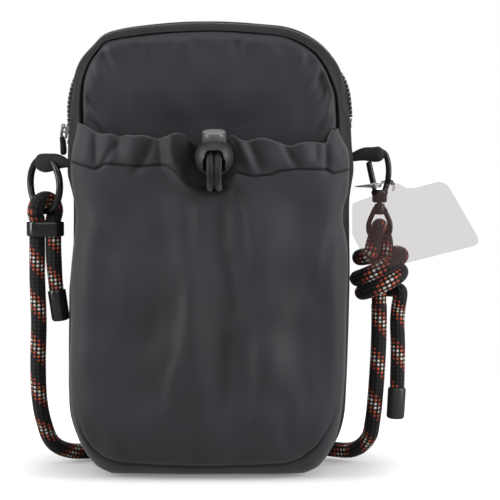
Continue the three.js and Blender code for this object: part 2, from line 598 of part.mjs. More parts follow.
// Rope loop over the ring, held by a clamp band, with the short tail and its cap
const ROPE_RADIUS = ROPE_DIAMETER / 2;
const LOOP_RADIUS = 3.3;
const loopReach = LOOP_RADIUS + RING_WIRE / 2 + FIT;
const across = vec(Math.sin(turn), Math.cos(turn), 0);
const CLAMP_TOP = RING_LOW - 4.8;
const CLAMP_LOW = CLAMP_TOP - 7;
const STRAND = ROPE_RADIUS + 0.2;
const TAIL_LOW = CLAMP_LOW - LEFT_TAIL;
const arcPoint = (deg) =>
  vec(RING_X, RING_Y, RING_LOW + loopReach * Math.sin(rad(deg)))
    .addScaledVector(across, loopReach * Math.cos(rad(deg)));
const loopLine = smooth([
  vec(RING_X - STRAND, RING_Y, CLAMP_LOW - 0.4), vec(RING_X - STRAND + 0.1, RING_Y, CLAMP_LOW + 3.6),
  vec(RING_X - STRAND, RING_Y, CLAMP_TOP), arcPoint(180), arcPoint(140), arcPoint(90), arcPoint(40),
  arcPoint(0), vec(RING_X + STRAND, RING_Y, CLAMP_TOP),
  vec(RING_X + STRAND - 0.1, RING_Y, CLAMP_LOW + 3.6), vec(RING_X + STRAND, RING_Y, CLAMP_LOW - 0.4),
  vec(RING_X + STRAND, RING_Y, CLAMP_LOW - 9), vec(RING_X + STRAND + 0.5, RING_Y, TAIL_LOW + 9),
  vec(RING_X + STRAND + 1.4, RING_Y, TAIL_LOW),
], 46);
add("strap_loop_left", tube(loopLine, LOOP_RADIUS, 8), ROPE);

const CLAMP_ROOM = 0.7;
const CLAMP_HALF = STRAND + LOOP_RADIUS + CLAMP_ROOM;
const clampShape = (grow) => {
  const r = LOOP_RADIUS + CLAMP_ROOM + grow;
  const flat = CLAMP_HALF - LOOP_RADIUS - CLAMP_ROOM;
  return [...round(RING_X + flat, RING_Y, r, 9, -90, 90), ...round(RING_X - flat, RING_Y, r, 9, 90, 270)];
};
add("clamp_band", cut(
  prism(clampShape(0.9), "z", CLAMP_LOW, CLAMP_TOP),
  prism(clampShape(0), "z", CLAMP_LOW - 1, CLAMP_TOP + 1)), GLOSS_PLASTIC);

// End cap: a cup over the last stretch of rope
const CAP_RADIUS = 4.3;
const CAP_LENGTH = 15;
const capShape = lathe([
  [0, -CAP_LENGTH], [CAP_RADIUS - 0.9, -CAP_LENGTH], [CAP_RADIUS - 0.2, -CAP_LENGTH + 0.5],
  [CAP_RADIUS, -CAP_LENGTH + 1.3], [CAP_RADIUS, -0.6], [CAP_RADIUS - 0.3, 0], [LOOP_RADIUS + FIT, 0],
  [LOOP_RADIUS + FIT, -3.4], [0, -3.4],
], 20);
const capAt = (lean, x, y, z) => capShape.clone().rotateY(lean).translate(x, y, z);
add("tail_cap_left", capAt(-rad(6), RING_X + STRAND + 1.1, RING_Y, TAIL_LOW + 3), GLOSS_PLASTIC);

// Snap hook on the right: bent wire frame on a turned neck, with a sprung gate
const HOOK_X = HALF + HOOK_OFFSET;
const HOOK_Z = TAB_Z + 2;
const WIRE = HOOK_WIRE / 2;
const NECK_TOP = HOOK_Z - 16;
const NECK_LOW = HOOK_Z - 22.2;
const NECK_RADIUS = NECK_DIAMETER / 2;
const hookAt = (x, z) => vec(HOOK_X + x, 0, HOOK_Z + z);
const frameLine = smooth([
  hookAt(1.9, -18), hookAt(3.1, -14.5), hookAt(4.1, -9.8), hookAt(4, -4.1), hookAt(2.5, 0.7), hookAt(-0.7, 2.3),
  hookAt(-4, 1), hookAt(-5.1, -1.8),
], 24);
const PIVOT = [HOOK_X - 2.2, HOOK_Z - 17.6];
const GATE_TIP = [HOOK_X - 5.2, HOOK_Z - 2.7];
const neck = lathe([
  [0, NECK_LOW], [NECK_RADIUS - 0.5, NECK_LOW], [NECK_RADIUS, NECK_LOW + 0.6], [NECK_RADIUS, NECK_LOW + 3.2],
  [NECK_RADIUS + 0.5, NECK_TOP - 1.6], [NECK_RADIUS + 0.2, NECK_TOP], [0, NECK_TOP],
], 24).translate(HOOK_X, 0, 0);
const STEM_RADIUS = 1.2;
const STEM_TOP = NECK_LOW + 2.2;
const stemBore = lathe([
  [0, NECK_LOW - 1], [STEM_RADIUS + FIT, NECK_LOW - 1], [STEM_RADIUS + FIT, STEM_TOP + FIT], [0, STEM_TOP + FIT],
], 16).translate(HOOK_X, 0, 0);
const GATE_HALF = WIRE + 0.35;
const gateSlot = block(PIVOT[0] - 8, PIVOT[0] + 2.1, -GATE_HALF, GATE_HALF, PIVOT[1] - 2, NECK_TOP + 4);
const PIN_RADIUS = 0.6;
const pinAt = (r, half) => prism(round(PIVOT[0], PIVOT[1], r, 12), "y", -half, half);
add("hook_frame", cut(
  join(tube(frameLine, WIRE, 8), neck), stemBore, gateSlot, pinAt(PIN_RADIUS + 0.25, 9)), BLACK_METAL);
const pinHalf = NECK_RADIUS - 0.7;
add("gate_pin", pinAt(PIN_RADIUS, pinHalf), STEEL);
const gateLine = spread(0, 1, 6).map((t) =>
  vec(PIVOT[0] + t * (GATE_TIP[0] - PIVOT[0]), 0, PIVOT[1] + t * (GATE_TIP[1] - PIVOT[1])));
const gateFoot = prism(round(PIVOT[0], PIVOT[1], WIRE + 0.25, 14), "y", -WIRE, WIRE);
add("hook_gate", cut(join(tube(gateLine, WIRE, 8), gateFoot), pinAt(PIN_RADIUS + 0.25, 9)), BLACK_METAL);

const rightSleeve = sleeve([
  [HALF - 3, 0, HOOK_Z - 0.6, 1.6, 2.5],
  [HALF + 2, 0, HOOK_Z - 0.2, 1.7, 2.7],
  [HOOK_X - 7.6, 0, HOOK_Z + 0.8, 2.4, 3],
  [HOOK_X - 4, 0, HOOK_Z + 1.3, 3.1, 3.2],
  [HOOK_X, 0, HOOK_Z + 1.2, 3.2, 3.6],
  [HOOK_X + 2.4, 0, HOOK_Z + 0.4, 2.8, 3.4],
]);
add("tab_right", cut(rightSleeve, tube(frameLine, WIRE + FIT, 8), tube(gateLine, WIRE + FIT, 8), BLANK), WEBBING);

// Swivel eye: a stem in the neck, a barrel and an A-shaped loop for the rope
const BARREL_TOP = NECK_LOW - 0.45;
const BARREL_LOW = BARREL_TOP - 5.2;
const EYE_WIRE = 1.35;
const BIGHT_Z = BARREL_LOW - 1.8 - ROPE_RADIUS;
const BAR_Z = BIGHT_Z - ROPE_RADIUS - EYE_WIRE - FIT;
const eyeSide = [[2.4, BARREL_TOP - 2.6], [4, BARREL_LOW - 0.4], [EYE_HALF, BIGHT_Z], [EYE_HALF - 0.6, BAR_Z + 2]];
const eyeLine = new THREE.CatmullRomCurve3([
  vec(HOOK_X, 0, BAR_Z), ...eyeSide.map(([x, z]) => vec(HOOK_X + x, 0, z)).reverse(),
  vec(HOOK_X, 0, BARREL_TOP - 1.7), ...eyeSide.map(([x, z]) => vec(HOOK_X - x, 0, z)),
], true, "centripetal").getSpacedPoints(30).slice(0, -1);
const barrel = lathe([
  [0, BARREL_LOW], [2.1, BARREL_LOW], [2.5, BARREL_LOW + 0.5], [2.5, BARREL_TOP - 0.6], [2.1, BARREL_TOP],
  [STEM_RADIUS, BARREL_TOP], [STEM_RADIUS, STEM_TOP], [0, STEM_TOP],
], 20).translate(HOOK_X, 0, 0);
add("swivel_eye", join(tube(eyeLine, EYE_WIRE, 8, true), barrel), BLACK_METAL);

// Knot: the rope comes up the swivel axis, over the bar and winds down round itself, then hangs as the tail
const KNOT_LOW = BAR_Z - KNOT_LENGTH;
const KNOT_TOP = BAR_Z - 0.21 * KNOT_LENGTH;
const barReach = ROPE_RADIUS + EYE_WIRE + FIT;
const TAIL_RIGHT_LOW = KNOT_LOW - RIGHT_TAIL;
const knotTurn = (u) => {
  const a = -Math.PI / 2 - 2 * Math.PI * u * KNOT_TURNS;
  const r = KNOT_RADIUS - 2.6 * Math.max(0, 1 - 6 * u) - 2.2 * Math.exp(-(((u - 0.82) / 0.1) ** 2));
  const drop = (KNOT_TOP - KNOT_LOW - 4) * u;
  const slant = KNOT_SLANT * r * Math.cos(a) * Math.sin(Math.PI * Math.min(Math.max(u, 0.08), 0.92)) ** 0.5;
  return vec(HOOK_X + r * Math.cos(a), r * Math.sin(a), KNOT_TOP - drop + slant);
};
const TAIL_X = HOOK_X + 8.8;
const windings = spread(0, 1, 32).map(knotTurn);
const knotPoints = [
  vec(HOOK_X, 0, KNOT_LOW), vec(HOOK_X, 0, KNOT_LOW + 8), vec(HOOK_X, 0.3, KNOT_TOP - 8),
  vec(HOOK_X, 2.6, KNOT_TOP), vec(HOOK_X, barReach, BAR_Z - 1), vec(HOOK_X, 0.72 * barReach, BAR_Z + 0.72 * barReach),
  vec(HOOK_X, 0, BIGHT_Z), vec(HOOK_X, -0.72 * barReach, BAR_Z + 0.72 * barReach), vec(HOOK_X, -barReach, BAR_Z - 1),
  ...windings,
  vec(TAIL_X + 0.4, 2.4, KNOT_LOW - 2.6),
  vec(TAIL_X, 1.6, KNOT_LOW - 9), vec(TAIL_X + 0.3, 0.8, KNOT_LOW - 20), vec(TAIL_X, 0.4, TAIL_RIGHT_LOW),
];
const knotLine = smooth(knotPoints, 78);
add("strap_knot", tube(knotLine, LOOP_RADIUS, 8), ROPE);
add("tail_cap_right", capAt(rad(2), TAIL_X, 0.4, TAIL_RIGHT_LOW + 3), SATIN_PLASTIC);

// Clear tag: a thin rounded plate with a tongue looped round the hook
const TAG_X = HALF + 0.8;
const tagPlane = (z) => -14.2 - (NECK_TOP - z) * 0.05;
const tagCorners = [[0, -6.7], [0, -21], [9.3, -38.7], [60.9, -26], [43.4, 4.2]].map(([x, z]) => [TAG_X + x, NECK_TOP + z]);
const tagOutline = tagCorners.flatMap(([x, z], i) => {
  const before = tagCorners.at(i - 1);
  const after = tagCorners[(i + 1) % tagCorners.length];
  const toward = ([ox, oz], d) => {
    const size = Math.hypot(ox - x, oz - z);
    return [x + ((ox - x) * d) / size, z + ((oz - z) * d) / size];
  };
  const [a, b] = [toward(before, 3), toward(after, 3)];
  return [a, [(a[0] + b[0] + 2 * x) / 4, (a[1] + b[1] + 2 * z) / 4], b];
});
const tagLoop = (back) => tagOutline.map(([x, z]) => vec(x, tagPlane(z) + back, z));
const LOOP_Z = NECK_TOP + 2.6;
const tongueFront = -5.6;
const band = cut(
  block(HOOK_X - 6.2, HOOK_X + 6.6, tongueFront - 0.7, -tongueFront + 0.7, LOOP_Z - 0.7, LOOP_Z + 0.7),
  block(HOOK_X - 5.5, HOOK_X + 5.9, tongueFront, -tongueFront, LOOP_Z - 2, LOOP_Z + 2));
const JOIN_Z = NECK_TOP - 8;
const strip = loft([
  [[-2, tongueFront - 0.1, LOOP_Z - 0.5], [3.4, tongueFront - 0.1, LOOP_Z - 0.5],
    [3.4, tongueFront - 0.1, LOOP_Z + 0.5], [-2, tongueFront - 0.1, LOOP_Z + 0.5]],
  [[-2, -10, LOOP_Z - 2.2], [5, -10, LOOP_Z - 2.2], [5, -10.3, LOOP_Z - 1.4], [-2, -10.3, LOOP_Z - 1.4]],
  [[-2, tagPlane(JOIN_Z) + 0.2, JOIN_Z], [8, tagPlane(JOIN_Z) + 0.2, JOIN_Z],
    [8, tagPlane(JOIN_Z) - 0.5, JOIN_Z], [-2, tagPlane(JOIN_Z) - 0.5, JOIN_Z]],
].map((loop) => loop.map(([x, y, z]) => vec(HOOK_X + x, y, z))));
add("clear_tag", join(loft([tagLoop(0), tagLoop(-TAG_THICK)]), band, strip), CLEAR);

// Spare rope: a flat coil in two layers behind the bag
const COIL_Y = HALF_DEPTH + 12 + COIL_RADIUS;
const COIL_Z = ROPE_RADIUS + FIT;
const coilPoint = (u) => {
  const r = COIL_RADIUS - COIL_PITCH * Math.min(u, COIL_TURNS - u);
  const a = -Math.PI / 2 + 2 * Math.PI * u;
  const climb = THREE.MathUtils.smoothstep(u, COIL_TURNS / 2 - 0.25, COIL_TURNS / 2 + 0.25);
  return vec(r * Math.cos(a), COIL_Y + r * Math.sin(a), COIL_Z + COIL_PITCH * climb);
};
const COIL_FRONT = COIL_Y - COIL_RADIUS;
const COIL_END = ROPE_DIAMETER + 1;
const coilLine = [
  vec(-COIL_END, COIL_FRONT, COIL_Z),
  ...spread(0, COIL_TURNS, COIL_TURNS * 24).map(coilPoint),
  vec(COIL_END, COIL_FRONT, COIL_Z + COIL_PITCH),
];
add("strap_coil", tube(coilLine, ROPE_RADIUS, 6), ROPE);

// Rope runs from the clamp and from the knot to the coil
const leftRun = smooth([
  vec(RING_X - STRAND, RING_Y, CLAMP_LOW - 0.9), vec(RING_X - STRAND + 0.2, RING_Y, 0.83 * CLAMP_LOW),
  vec(RING_X - 2.7, RING_Y + 0.5, 0.64 * CLAMP_LOW), vec(RING_X - 3, RING_Y + 2, 0.46 * CLAMP_LOW),
  vec(RING_X - 2.5, RING_Y + 5.5, 0.306 * CLAMP_LOW), vec(RING_X - 0.5, RING_Y + 10.5, 0.19 * CLAMP_LOW),
  vec(RING_X + 3.1, RING_Y + 16, 0.098 * CLAMP_LOW), vec(RING_X + 10, HALF_DEPTH + 1.5, COIL_Z + 1.4),
  vec(-0.8 * HALF, COIL_FRONT - 3.5, COIL_Z + 0.1), vec(-0.6 * HALF, COIL_FRONT - 0.6, COIL_Z),
  vec(-0.364 * HALF, COIL_FRONT, COIL_Z), vec(-COIL_END - 0.5, COIL_FRONT, COIL_Z),
], 32);
add("strap_run_left", tube(leftRun, ROPE_RADIUS, 8), ROPE);

const rightRun = smooth([
  vec(COIL_END + 0.5, COIL_FRONT, COIL_Z + COIL_PITCH), vec(COIL_END + 12, COIL_FRONT, COIL_Z + COIL_PITCH - 0.3),
  vec(0.5 * HALF, COIL_FRONT - 0.6, COIL_Z + 6.4), vec(0.7 * HALF, COIL_FRONT - 2.4, COIL_Z + 3),
  vec(HOOK_X - 13, HALF_DEPTH + 1, COIL_Z + 1.8), vec(HOOK_X - 5.2, HALF_DEPTH - 9, COIL_Z + 9.6),
  vec(HOOK_X - 3.3, 4, 0.287 * KNOT_LOW), vec(HOOK_X - 1.9, 1.5, 0.472 * KNOT_LOW),
  vec(HOOK_X - 0.6, 0.5, 0.72 * KNOT_LOW), vec(HOOK_X, 0, KNOT_LOW - 7), vec(HOOK_X, 0, KNOT_LOW - 0.5),
], 32);
add("strap_run_right", tube(rightRun, ROPE_RADIUS, 8), ROPE);

// Rope length and the least gap between two stretches of one tube
const lengthOf = (line) => line.slice(1).reduce((sum, p, i) => sum + p.distanceTo(line[i]), 0);
function leastGap(line, diameter) {
  const along = [0];
  line.slice(1).forEach((p, i) => along.push(along[i] + p.distanceTo(line[i])));
  let least = Infinity;
  line.forEach((p, i) => line.forEach((q, j) => {
    if (along[j] - along[i] > 3 * diameter) least = Math.min(least, p.distanceTo(q) - diameter);
  }));
  return least;
}
const ropeLength = [leftRun, coilLine, rightRun, knotLine, loopLine].reduce((sum, line) => sum + lengthOf(line), 0);
console.log("coil self gap " + leastGap(coilLine, ROPE_DIAMETER).toFixed(2) + " mm");
console.log("knot self gap " + leastGap(knotLine, 2 * LOOP_RADIUS).toFixed(2) + " mm");
console.log("rope length " + ropeLength.toFixed(0) + " mm");

export default group;
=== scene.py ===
import math
from functools import partialmethod

import bmesh
import bpy
import numpy as np
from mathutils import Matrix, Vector, noise


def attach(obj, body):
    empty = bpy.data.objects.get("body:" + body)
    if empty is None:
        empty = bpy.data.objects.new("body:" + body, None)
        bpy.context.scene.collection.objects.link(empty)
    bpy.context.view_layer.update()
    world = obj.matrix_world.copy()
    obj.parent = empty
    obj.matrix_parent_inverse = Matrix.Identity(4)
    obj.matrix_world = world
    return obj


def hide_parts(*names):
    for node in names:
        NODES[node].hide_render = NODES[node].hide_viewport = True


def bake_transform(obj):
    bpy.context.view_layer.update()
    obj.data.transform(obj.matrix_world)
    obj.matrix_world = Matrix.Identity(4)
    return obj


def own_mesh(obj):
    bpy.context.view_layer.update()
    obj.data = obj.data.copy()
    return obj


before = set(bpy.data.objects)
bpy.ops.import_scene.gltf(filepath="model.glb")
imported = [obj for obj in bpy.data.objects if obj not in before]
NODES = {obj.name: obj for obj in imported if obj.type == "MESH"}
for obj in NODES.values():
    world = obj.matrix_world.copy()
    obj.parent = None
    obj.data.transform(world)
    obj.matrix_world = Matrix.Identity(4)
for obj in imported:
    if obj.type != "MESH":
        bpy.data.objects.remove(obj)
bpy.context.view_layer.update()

MM = 0.001


# ---------------------------------------------------------------- shader maths
def feed(tree, slot, value):
    """Links a shader socket to an input, or sets the input to a constant."""
    if isinstance(value, Sock):
        tree.links.new(value.out, slot)
    else:
        slot.default_value = value


def mix_shader(tree, fac, a, b):
    """Shader a where fac is 0 and shader b where it is 1."""
    node = tree.nodes.new("ShaderNodeMixShader")
    for out, slot in zip((fac, a, b), node.inputs):
        tree.links.new(out, slot)
    return node.outputs[0]


class Sock:
    """A shader socket with arithmetic."""

    def __init__(self, tree, out):
        self.tree, self.out = tree, out

    def maths(self, op, *others):
        node = self.tree.nodes.new("ShaderNodeMath")
        node.operation = op
        for slot, value in zip(node.inputs, (self, *others)):
            feed(self.tree, slot, value)
        return Sock(self.tree, node.outputs[0])

    __add__ = partialmethod(maths, "ADD")
    __sub__ = partialmethod(maths, "SUBTRACT")
    __mul__ = partialmethod(maths, "MULTIPLY")
    __truediv__ = partialmethod(maths, "DIVIDE")
    fract = partialmethod(maths, "FRACT")
    floor = partialmethod(maths, "FLOOR")
    sin = partialmethod(maths, "SINE")
    sqrt = partialmethod(maths, "SQRT")
    abs = partialmethod(maths, "ABSOLUTE")
    at_least = partialmethod(maths, "MAXIMUM")
    below = partialmethod(maths, "LESS_THAN")
    above = partialmethod(maths, "GREATER_THAN")

    def step(self, low, high):
        """0 below low, 1 above high, smooth between."""
        node = self.tree.nodes.new("ShaderNodeMapRange")
        node.interpolation_type = "SMOOTHSTEP"
        for key, value in (("Value", self), ("From Min", low), ("From Max", high)):
            feed(self.tree, node.inputs[key], value)
        return Sock(self.tree, node.outputs["Result"])


class Paint:
    """One material with a Principled shader and a few ways to feed it."""

    def __init__(self, name, rgb, rough, metal=0.0, coat=0.0, spec=0.5, sheen=0.0):
        self.mat = bpy.data.materials.new(name)
        self.mat.use_nodes = True
        self.tree = self.mat.node_tree
        self.shader = self.tree.nodes["Principled BSDF"]
        self.color, self.rough = srgb(*rgb), rough
        for key, value in (
            ("Base Color", (*self.color, 1.0)), ("Roughness", rough), ("Metallic", metal), ("Coat Weight", coat),
            ("Coat Roughness", 0.08), ("Specular IOR Level", spec), ("Sheen Weight", sheen), ("Sheen Roughness", 0.45),
        ):
            self.set(key, value)

    def set(self, key, value):
        feed(self.tree, self.shader.inputs[key], value)

    def show(self, out):
        self.tree.links.new(out, self.tree.nodes["Material Output"].inputs["Surface"])

    def node(self, kind, **values):
        node = self.tree.nodes.new(kind)
        for key, value in values.items():
            feed(self.tree, node.inputs[key], value)
        return node

    def plane(self, kind, key):
        """X and Y of what a coordinate node gives."""
        node = self.node("ShaderNodeSeparateXYZ")
        self.tree.links.new(self.node(kind).outputs[key], node.inputs[0])
        return [Sock(self.tree, node.outputs[k]) for k in "XY"]

    def held(self, name):
        """A value that the mesh holds at its points."""
        node = self.node("ShaderNodeAttribute")
        node.attribute_name = name
        return Sock(self.tree, node.outputs["Fac"])

    def noise(self, scale, detail):
        node = self.node("ShaderNodeTexNoise", Scale=scale, Detail=detail, Roughness=0.5)
        self.tree.links.new(self.node("ShaderNodeTexCoord").outputs["Object"], node.inputs["Vector"])
        return Sock(self.tree, node.outputs[0])

    def paint_shade(self, fac):
        """Paints shade: gives up a share of the surface to an almost black one."""
        dark = self.node("ShaderNodeBsdfDiffuse", Color=(0.005, 0.005, 0.006, 1.0))
        self.show(mix_shader(self.tree, fac.out, self.shader.outputs[0], dark.outputs[0]))

    def mix(self, fac, a, b):
        """A colour between a and b."""
        node = self.tree.nodes.new("ShaderNodeMix")
        node.data_type = "RGBA"
        for slot, value in ((0, fac), (6, a), (7, b)):
            feed(self.tree, node.inputs[slot], (*value, 1.0) if isinstance(value, tuple) else value)
        return Sock(self.tree, node.outputs[2])

    def bump(self, height, distance):
        node = self.node("ShaderNodeBump", Height=height, Distance=distance, Strength=1.0)
        self.set("Normal", Sock(self.tree, node.outputs[0]))


def srgb(*rgb):
    return tuple(c / 3294.6 if c <= 10.31 else ((c / 255 + 0.055) / 1.055) ** 2.4 for c in rgb)


# ---------------------------------------------------------------- mesh helpers, millimetres
UP = np.array([0, 0, 1.0])


def run_along(line):
    """The way from the start of a line to each of its points."""
    return np.concatenate([[0], np.cumsum(np.linalg.norm(np.diff(line, axis=0), axis=1))])


def unit(v):
    return v / np.linalg.norm(v, axis=1)[:, None]


def circle(n):
    """Angles of n even steps round a circle."""
    return np.linspace(0, 2 * np.pi, n, endpoint=False)


def upright(q, y):
    """(x, z) points as points at the depth y."""
    return np.column_stack([q[:, 0], np.broadcast_to(y, len(q)), q[:, 1]])


def bell(t):
    return np.exp(-(t**2))


def between(t, low, high, a, b):
    """From a where t is low to b where t is high."""
    return (high - t) / (high - low) * a + (t - low) / (high - low) * b


def smooth_line(points, step, closed=False):
    """Points spaced evenly on a centripetal curve through the given ones."""
    p = np.array(points, float)
    p = np.vstack([p[-1], p, p[:2]]) if closed else np.vstack([2 * p[0] - p[1], p, 2 * p[-1] - p[-2]])
    out = []
    for a, b, c, d in zip(p, p[1:], p[2:], p[3:]):
        t1 = max(np.linalg.norm(b - a), 1e-6) ** 0.5
        t2 = t1 + max(np.linalg.norm(c - b), 1e-6) ** 0.5
        t3 = t2 + max(np.linalg.norm(d - c), 1e-6) ** 0.5
        t = np.linspace(t1, t2, 24, endpoint=False)[:, None]
        ab, bc, cd = between(t, 0, t1, a, b), between(t, t1, t2, b, c), between(t, t2, t3, c, d)
        out.append(between(t, t1, t2, between(t, 0, t2, ab, bc), between(t, t1, t3, bc, cd)))
    line = np.vstack([*out, out[0][:1] if closed else p[-2][None]])
    along = run_along(line)
    n = max(int(round(along[-1] / step)), 2)
    at = np.linspace(0, along[-1], n + 1)
    even = np.stack([np.interp(at, along, line[:, k]) for k in range(line.shape[1])], 1)
    return even[:-1] if closed else even


def make(name, verts, faces, paint, uv=None, painted_shade_mask=None, sharp=None):
    """A smooth object, sharp at edges over an angle; its points can hold a mask of painted shade, from 0 to 1."""
    me = bpy.data.meshes.new(name)
    me.from_pydata((np.array(verts, float) * MM).tolist(), [], faces)
    if uv is not None:
        layer = me.uv_layers.new(name="UVMap")
        layer.data.foreach_set("uv", np.array(uv, np.float32).ravel())
    if painted_shade_mask is not None:
        me.attributes.new("painted_shade_mask", "FLOAT", "POINT").data.foreach_set("value", np.array(painted_shade_mask, np.float32))
    me.shade_smooth()
    if sharp is not None:
        me.set_sharp_from_angle(angle=math.radians(sharp))
    me.materials.append(paint.mat)
    o = bpy.data.objects.new(name, me)
    bpy.context.scene.collection.objects.link(o)
    return o


def grid_faces(n, m, wrap_n=False, wrap_m=False, flip=False):
    """Faces between n rows of m points."""
    faces = []
    for i in range(n if wrap_n else n - 1):
        for j in range(m if wrap_m else m - 1):
            a, b = i * m + j, i * m + (j + 1) % m
            c, d = (i + 1) % n * m + (j + 1) % m, (i + 1) % n * m + j
            faces.append((d, c, b, a) if flip else (a, b, c, d))
    return faces


def end_faces(n, m):
    """Faces that close the first and the last of n loops of m points."""
    return [tuple(range(m))[::-1], tuple((n - 1) * m + k for k in range(m))]


def frames(line, closed):
    """Two even side directions along a line."""
    t = unit(np.roll(line, -1, 0) - np.roll(line, 1, 0) if closed else np.gradient(line, axis=0))
    side = np.array([1.0, 0, 0]) if abs(t[0][0]) < 0.8 else UP
    sides = []
    for d in t:
        side = side - d * side.dot(d)
        side /= np.linalg.norm(side)
        sides.append(side)
    sides = np.array(sides)
    return sides, np.cross(t, sides)


def tube_data(line, radius, sides, closed=False, shift=0.0):
    """Vertices, faces and UV of a round tube; U is the length in mm, from shift on, and V the turn."""
    s, o = frames(line, closed)
    r = np.broadcast_to(radius, len(line))[:, None, None]
    a = circle(sides)
    ring = np.cos(a)[None, :, None] * s[:, None] + np.sin(a)[None, :, None] * o[:, None]
    verts = (line[:, None] + r * ring).reshape(-1, 3)
    n = len(line)
    along = run_along(line) + shift
    faces, uv = grid_faces(n, sides, closed, True), []
    for i in range(n if closed else n - 1):
        u0 = along[i]
        u1 = along[i + 1] if i + 1 < n else along[i] + np.linalg.norm(line[0] - line[-1])
        for j in range(sides):
            v0, v1 = j / sides, (j + 1) / sides
            uv += [(u0, v0), (u0, v1), (u1, v1), (u1, v0)]
    if not closed:
        faces += end_faces(n, sides)
        uv += [(along[0], 0.0)] * sides + [(along[-1], 0.0)] * sides
    return verts, faces, uv


def tube(name, line, radius, paint, sides, closed=False, shift=0.0):
    verts, faces, uv = tube_data(line, radius, sides, closed, shift)
    return make(name, verts, faces, paint, uv)


def lathe_data(profile, at, sides, turn=None):
    """A turned form about Z from (radius, z) points, then turned by a 3x3 matrix and moved."""
    p = np.array(profile, float)
    a = circle(sides)
    verts = np.stack([p[:, :1] * np.cos(a), p[:, :1] * np.sin(a), np.broadcast_to(p[:, 1:], (len(p), sides))], 2)
    verts = verts.reshape(-1, 3)
    if turn is not None:
        verts = verts @ turn.T
    return verts + np.array(at, float), grid_faces(len(p), sides, False, True)


def merged(name, parts, paint, sharp=None):
    """Several (verts, faces) in one mesh."""
    verts, faces, start = [], [], 0
    for v, f in parts:
        verts.append(v)
        faces += [tuple(i + start for i in face) for face in f]
        start += len(v)
    return make(name, np.vstack(verts), faces, paint, sharp=sharp)


def done(o, body, *nodes, slot):
    """The piece rides on a body and stands for the nodes of the CAD; slot is not used."""
    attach(o, body)
    if nodes:
        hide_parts(*nodes)


def bending(o, node):
    """The piece keeps its place in the world and stands for a CAD node, which is hidden."""
    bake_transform(o)
    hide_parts(node)


def bevel(o, width, angle=30):
    m = o.modifiers.new("edge", "BEVEL")
    m.width, m.segments, m.limit_method, m.angle_limit = width * MM, 2, "ANGLE", math.radians(angle)


def ease(t, low, high):
    """0 below low, 1 above high, smooth between."""
    t = np.clip((t - low) / (high - low), 0, 1)
    return t * t * (3 - 2 * t)


def hermite(x, points):
    """A smooth height over x through (x, z) points."""
    px, pz = np.array(points, float).T
    m = np.gradient(pz, px)
    i = np.clip(np.searchsorted(px, x) - 1, 0, len(px) - 2)
    h = px[i + 1] - px[i]
    t = np.clip((x - px[i]) / h, 0, 1)
    return (
        (1 + 2 * t) * (1 - t) ** 2 * pz[i]
        + t * (1 - t) ** 2 * h * m[i]
        + t * t * (3 - 2 * t) * pz[i + 1]
        + t * t * (t - 1) * h * m[i + 1]
    )


def ruffle(verts, size, scale, seed):
    """Small soft unevenness along X, Y and Z of a list of points."""
    return np.array([
        [size * noise.noise(Vector((x * scale + seed, y * scale + 7 * k, z * scale))) for k in range(3)]
        for x, y, z in verts
    ])


def uneven(x, z, seed):
    """Soft upright crumples of the cloth, from -1 to 1."""
    flat = [noise.noise(Vector((a * 0.085, b * 0.05, seed))) for a, b in zip(np.ravel(x), np.ravel(z))]
    return np.reshape(flat, np.shape(x))


# ---------------------------------------------------------------- materials
def cloth(name, rgb, rough, weave=0.45, depth=0.04, sheen=0.25):
    """Woven cloth: fine crossing threads, a soft sheen and painted shade, almost black, where the mesh holds a mask of
    it (seam grooves, the pit round the lock).
    """
    p = Paint(name, rgb, rough, sheen=sheen, spec=0.3)
    u, v = p.plane("ShaderNodeUVMap", "UV")
    threads = (u * (6.2832 / weave)).sin() * (v * (6.2832 / weave)).sin()
    cloudy, fine, broad = p.noise(38.0, 3.0), p.noise(650.0, 2.0), p.noise(17.0, 1.0)
    shade = (cloudy - 0.5) * 0.25 + (broad - 0.5) * 0.6 + (fine - 0.5) * 0.12 + 1.0
    p.set("Base Color", p.mix(shade * 0.5, (0, 0, 0), tuple(2 * c for c in p.color)))
    # Painted shade, from the mask that the mesh holds
    p.paint_shade(p.held("painted_shade_mask") * 0.82)
    p.set("Roughness", (fine - 0.5) * 0.12 + rough)
    p.bump(threads * 0.35 + fine * 0.8, depth * MM)
    return p


def braid(name):
    """Braided rope: one winding band of small checks, cream in the middle and orange at its edges."""
    p = Paint(name, (24, 23, 24), 0.72, spec=0.3, sheen=0.1)
    u, v = p.plane("ShaderNodeUVMap", "UV")
    rows, cols, pitch = 11.0, 11.0, 20.7
    b = (u / pitch + v + 40.0).fract() * rows
    row = b.floor()
    fx = ((v * cols).fract() - 0.5) * 2.14
    fy = (b.fract() - 0.5) * 1.88 - fx * 0.88
    far = (fx * fx + fy * fy).sqrt()
    dot = far.step(0.78, 0.5)
    lively = p.noise(420.0, 1.0)
    band = row.below(5.5)
    off = (row - 2.5).abs()
    warm = p.mix(off.above(2.2) * 0.75, srgb(211, 100, 60), srgb(142, 54, 52))
    tone = p.mix(off.below(0.8), warm, srgb(226, 217, 205))
    tone = p.mix((lively - 0.46).step(0.0, 0.3) * 0.4, tone, srgb(120, 62, 52))
    dark = p.mix(dot, srgb(14, 14, 15), srgb(34, 32, 33))
    p.set("Base Color", p.mix(band * dot, dark, tone))
    p.set("Roughness", (lively - 0.5) * 0.1 + p.rough)
    p.bump(far.step(1.1, 0.0), 0.35 * MM)
    return p


def hard(name, rgb, rough, metal=0.0, coat=0.0, spec=0.5, alpha=None):
    """A hard finish with slightly uneven gloss, clear where an alpha is given."""
    p = Paint(name, rgb, rough, metal, coat, spec)
    p.set("Roughness", (p.noise(240.0, 3.0) - 0.5) * 0.06 + rough)
    if alpha is not None:
        p.set("Alpha", alpha)
        p.mat.surface_render_method = "BLENDED"
    return p


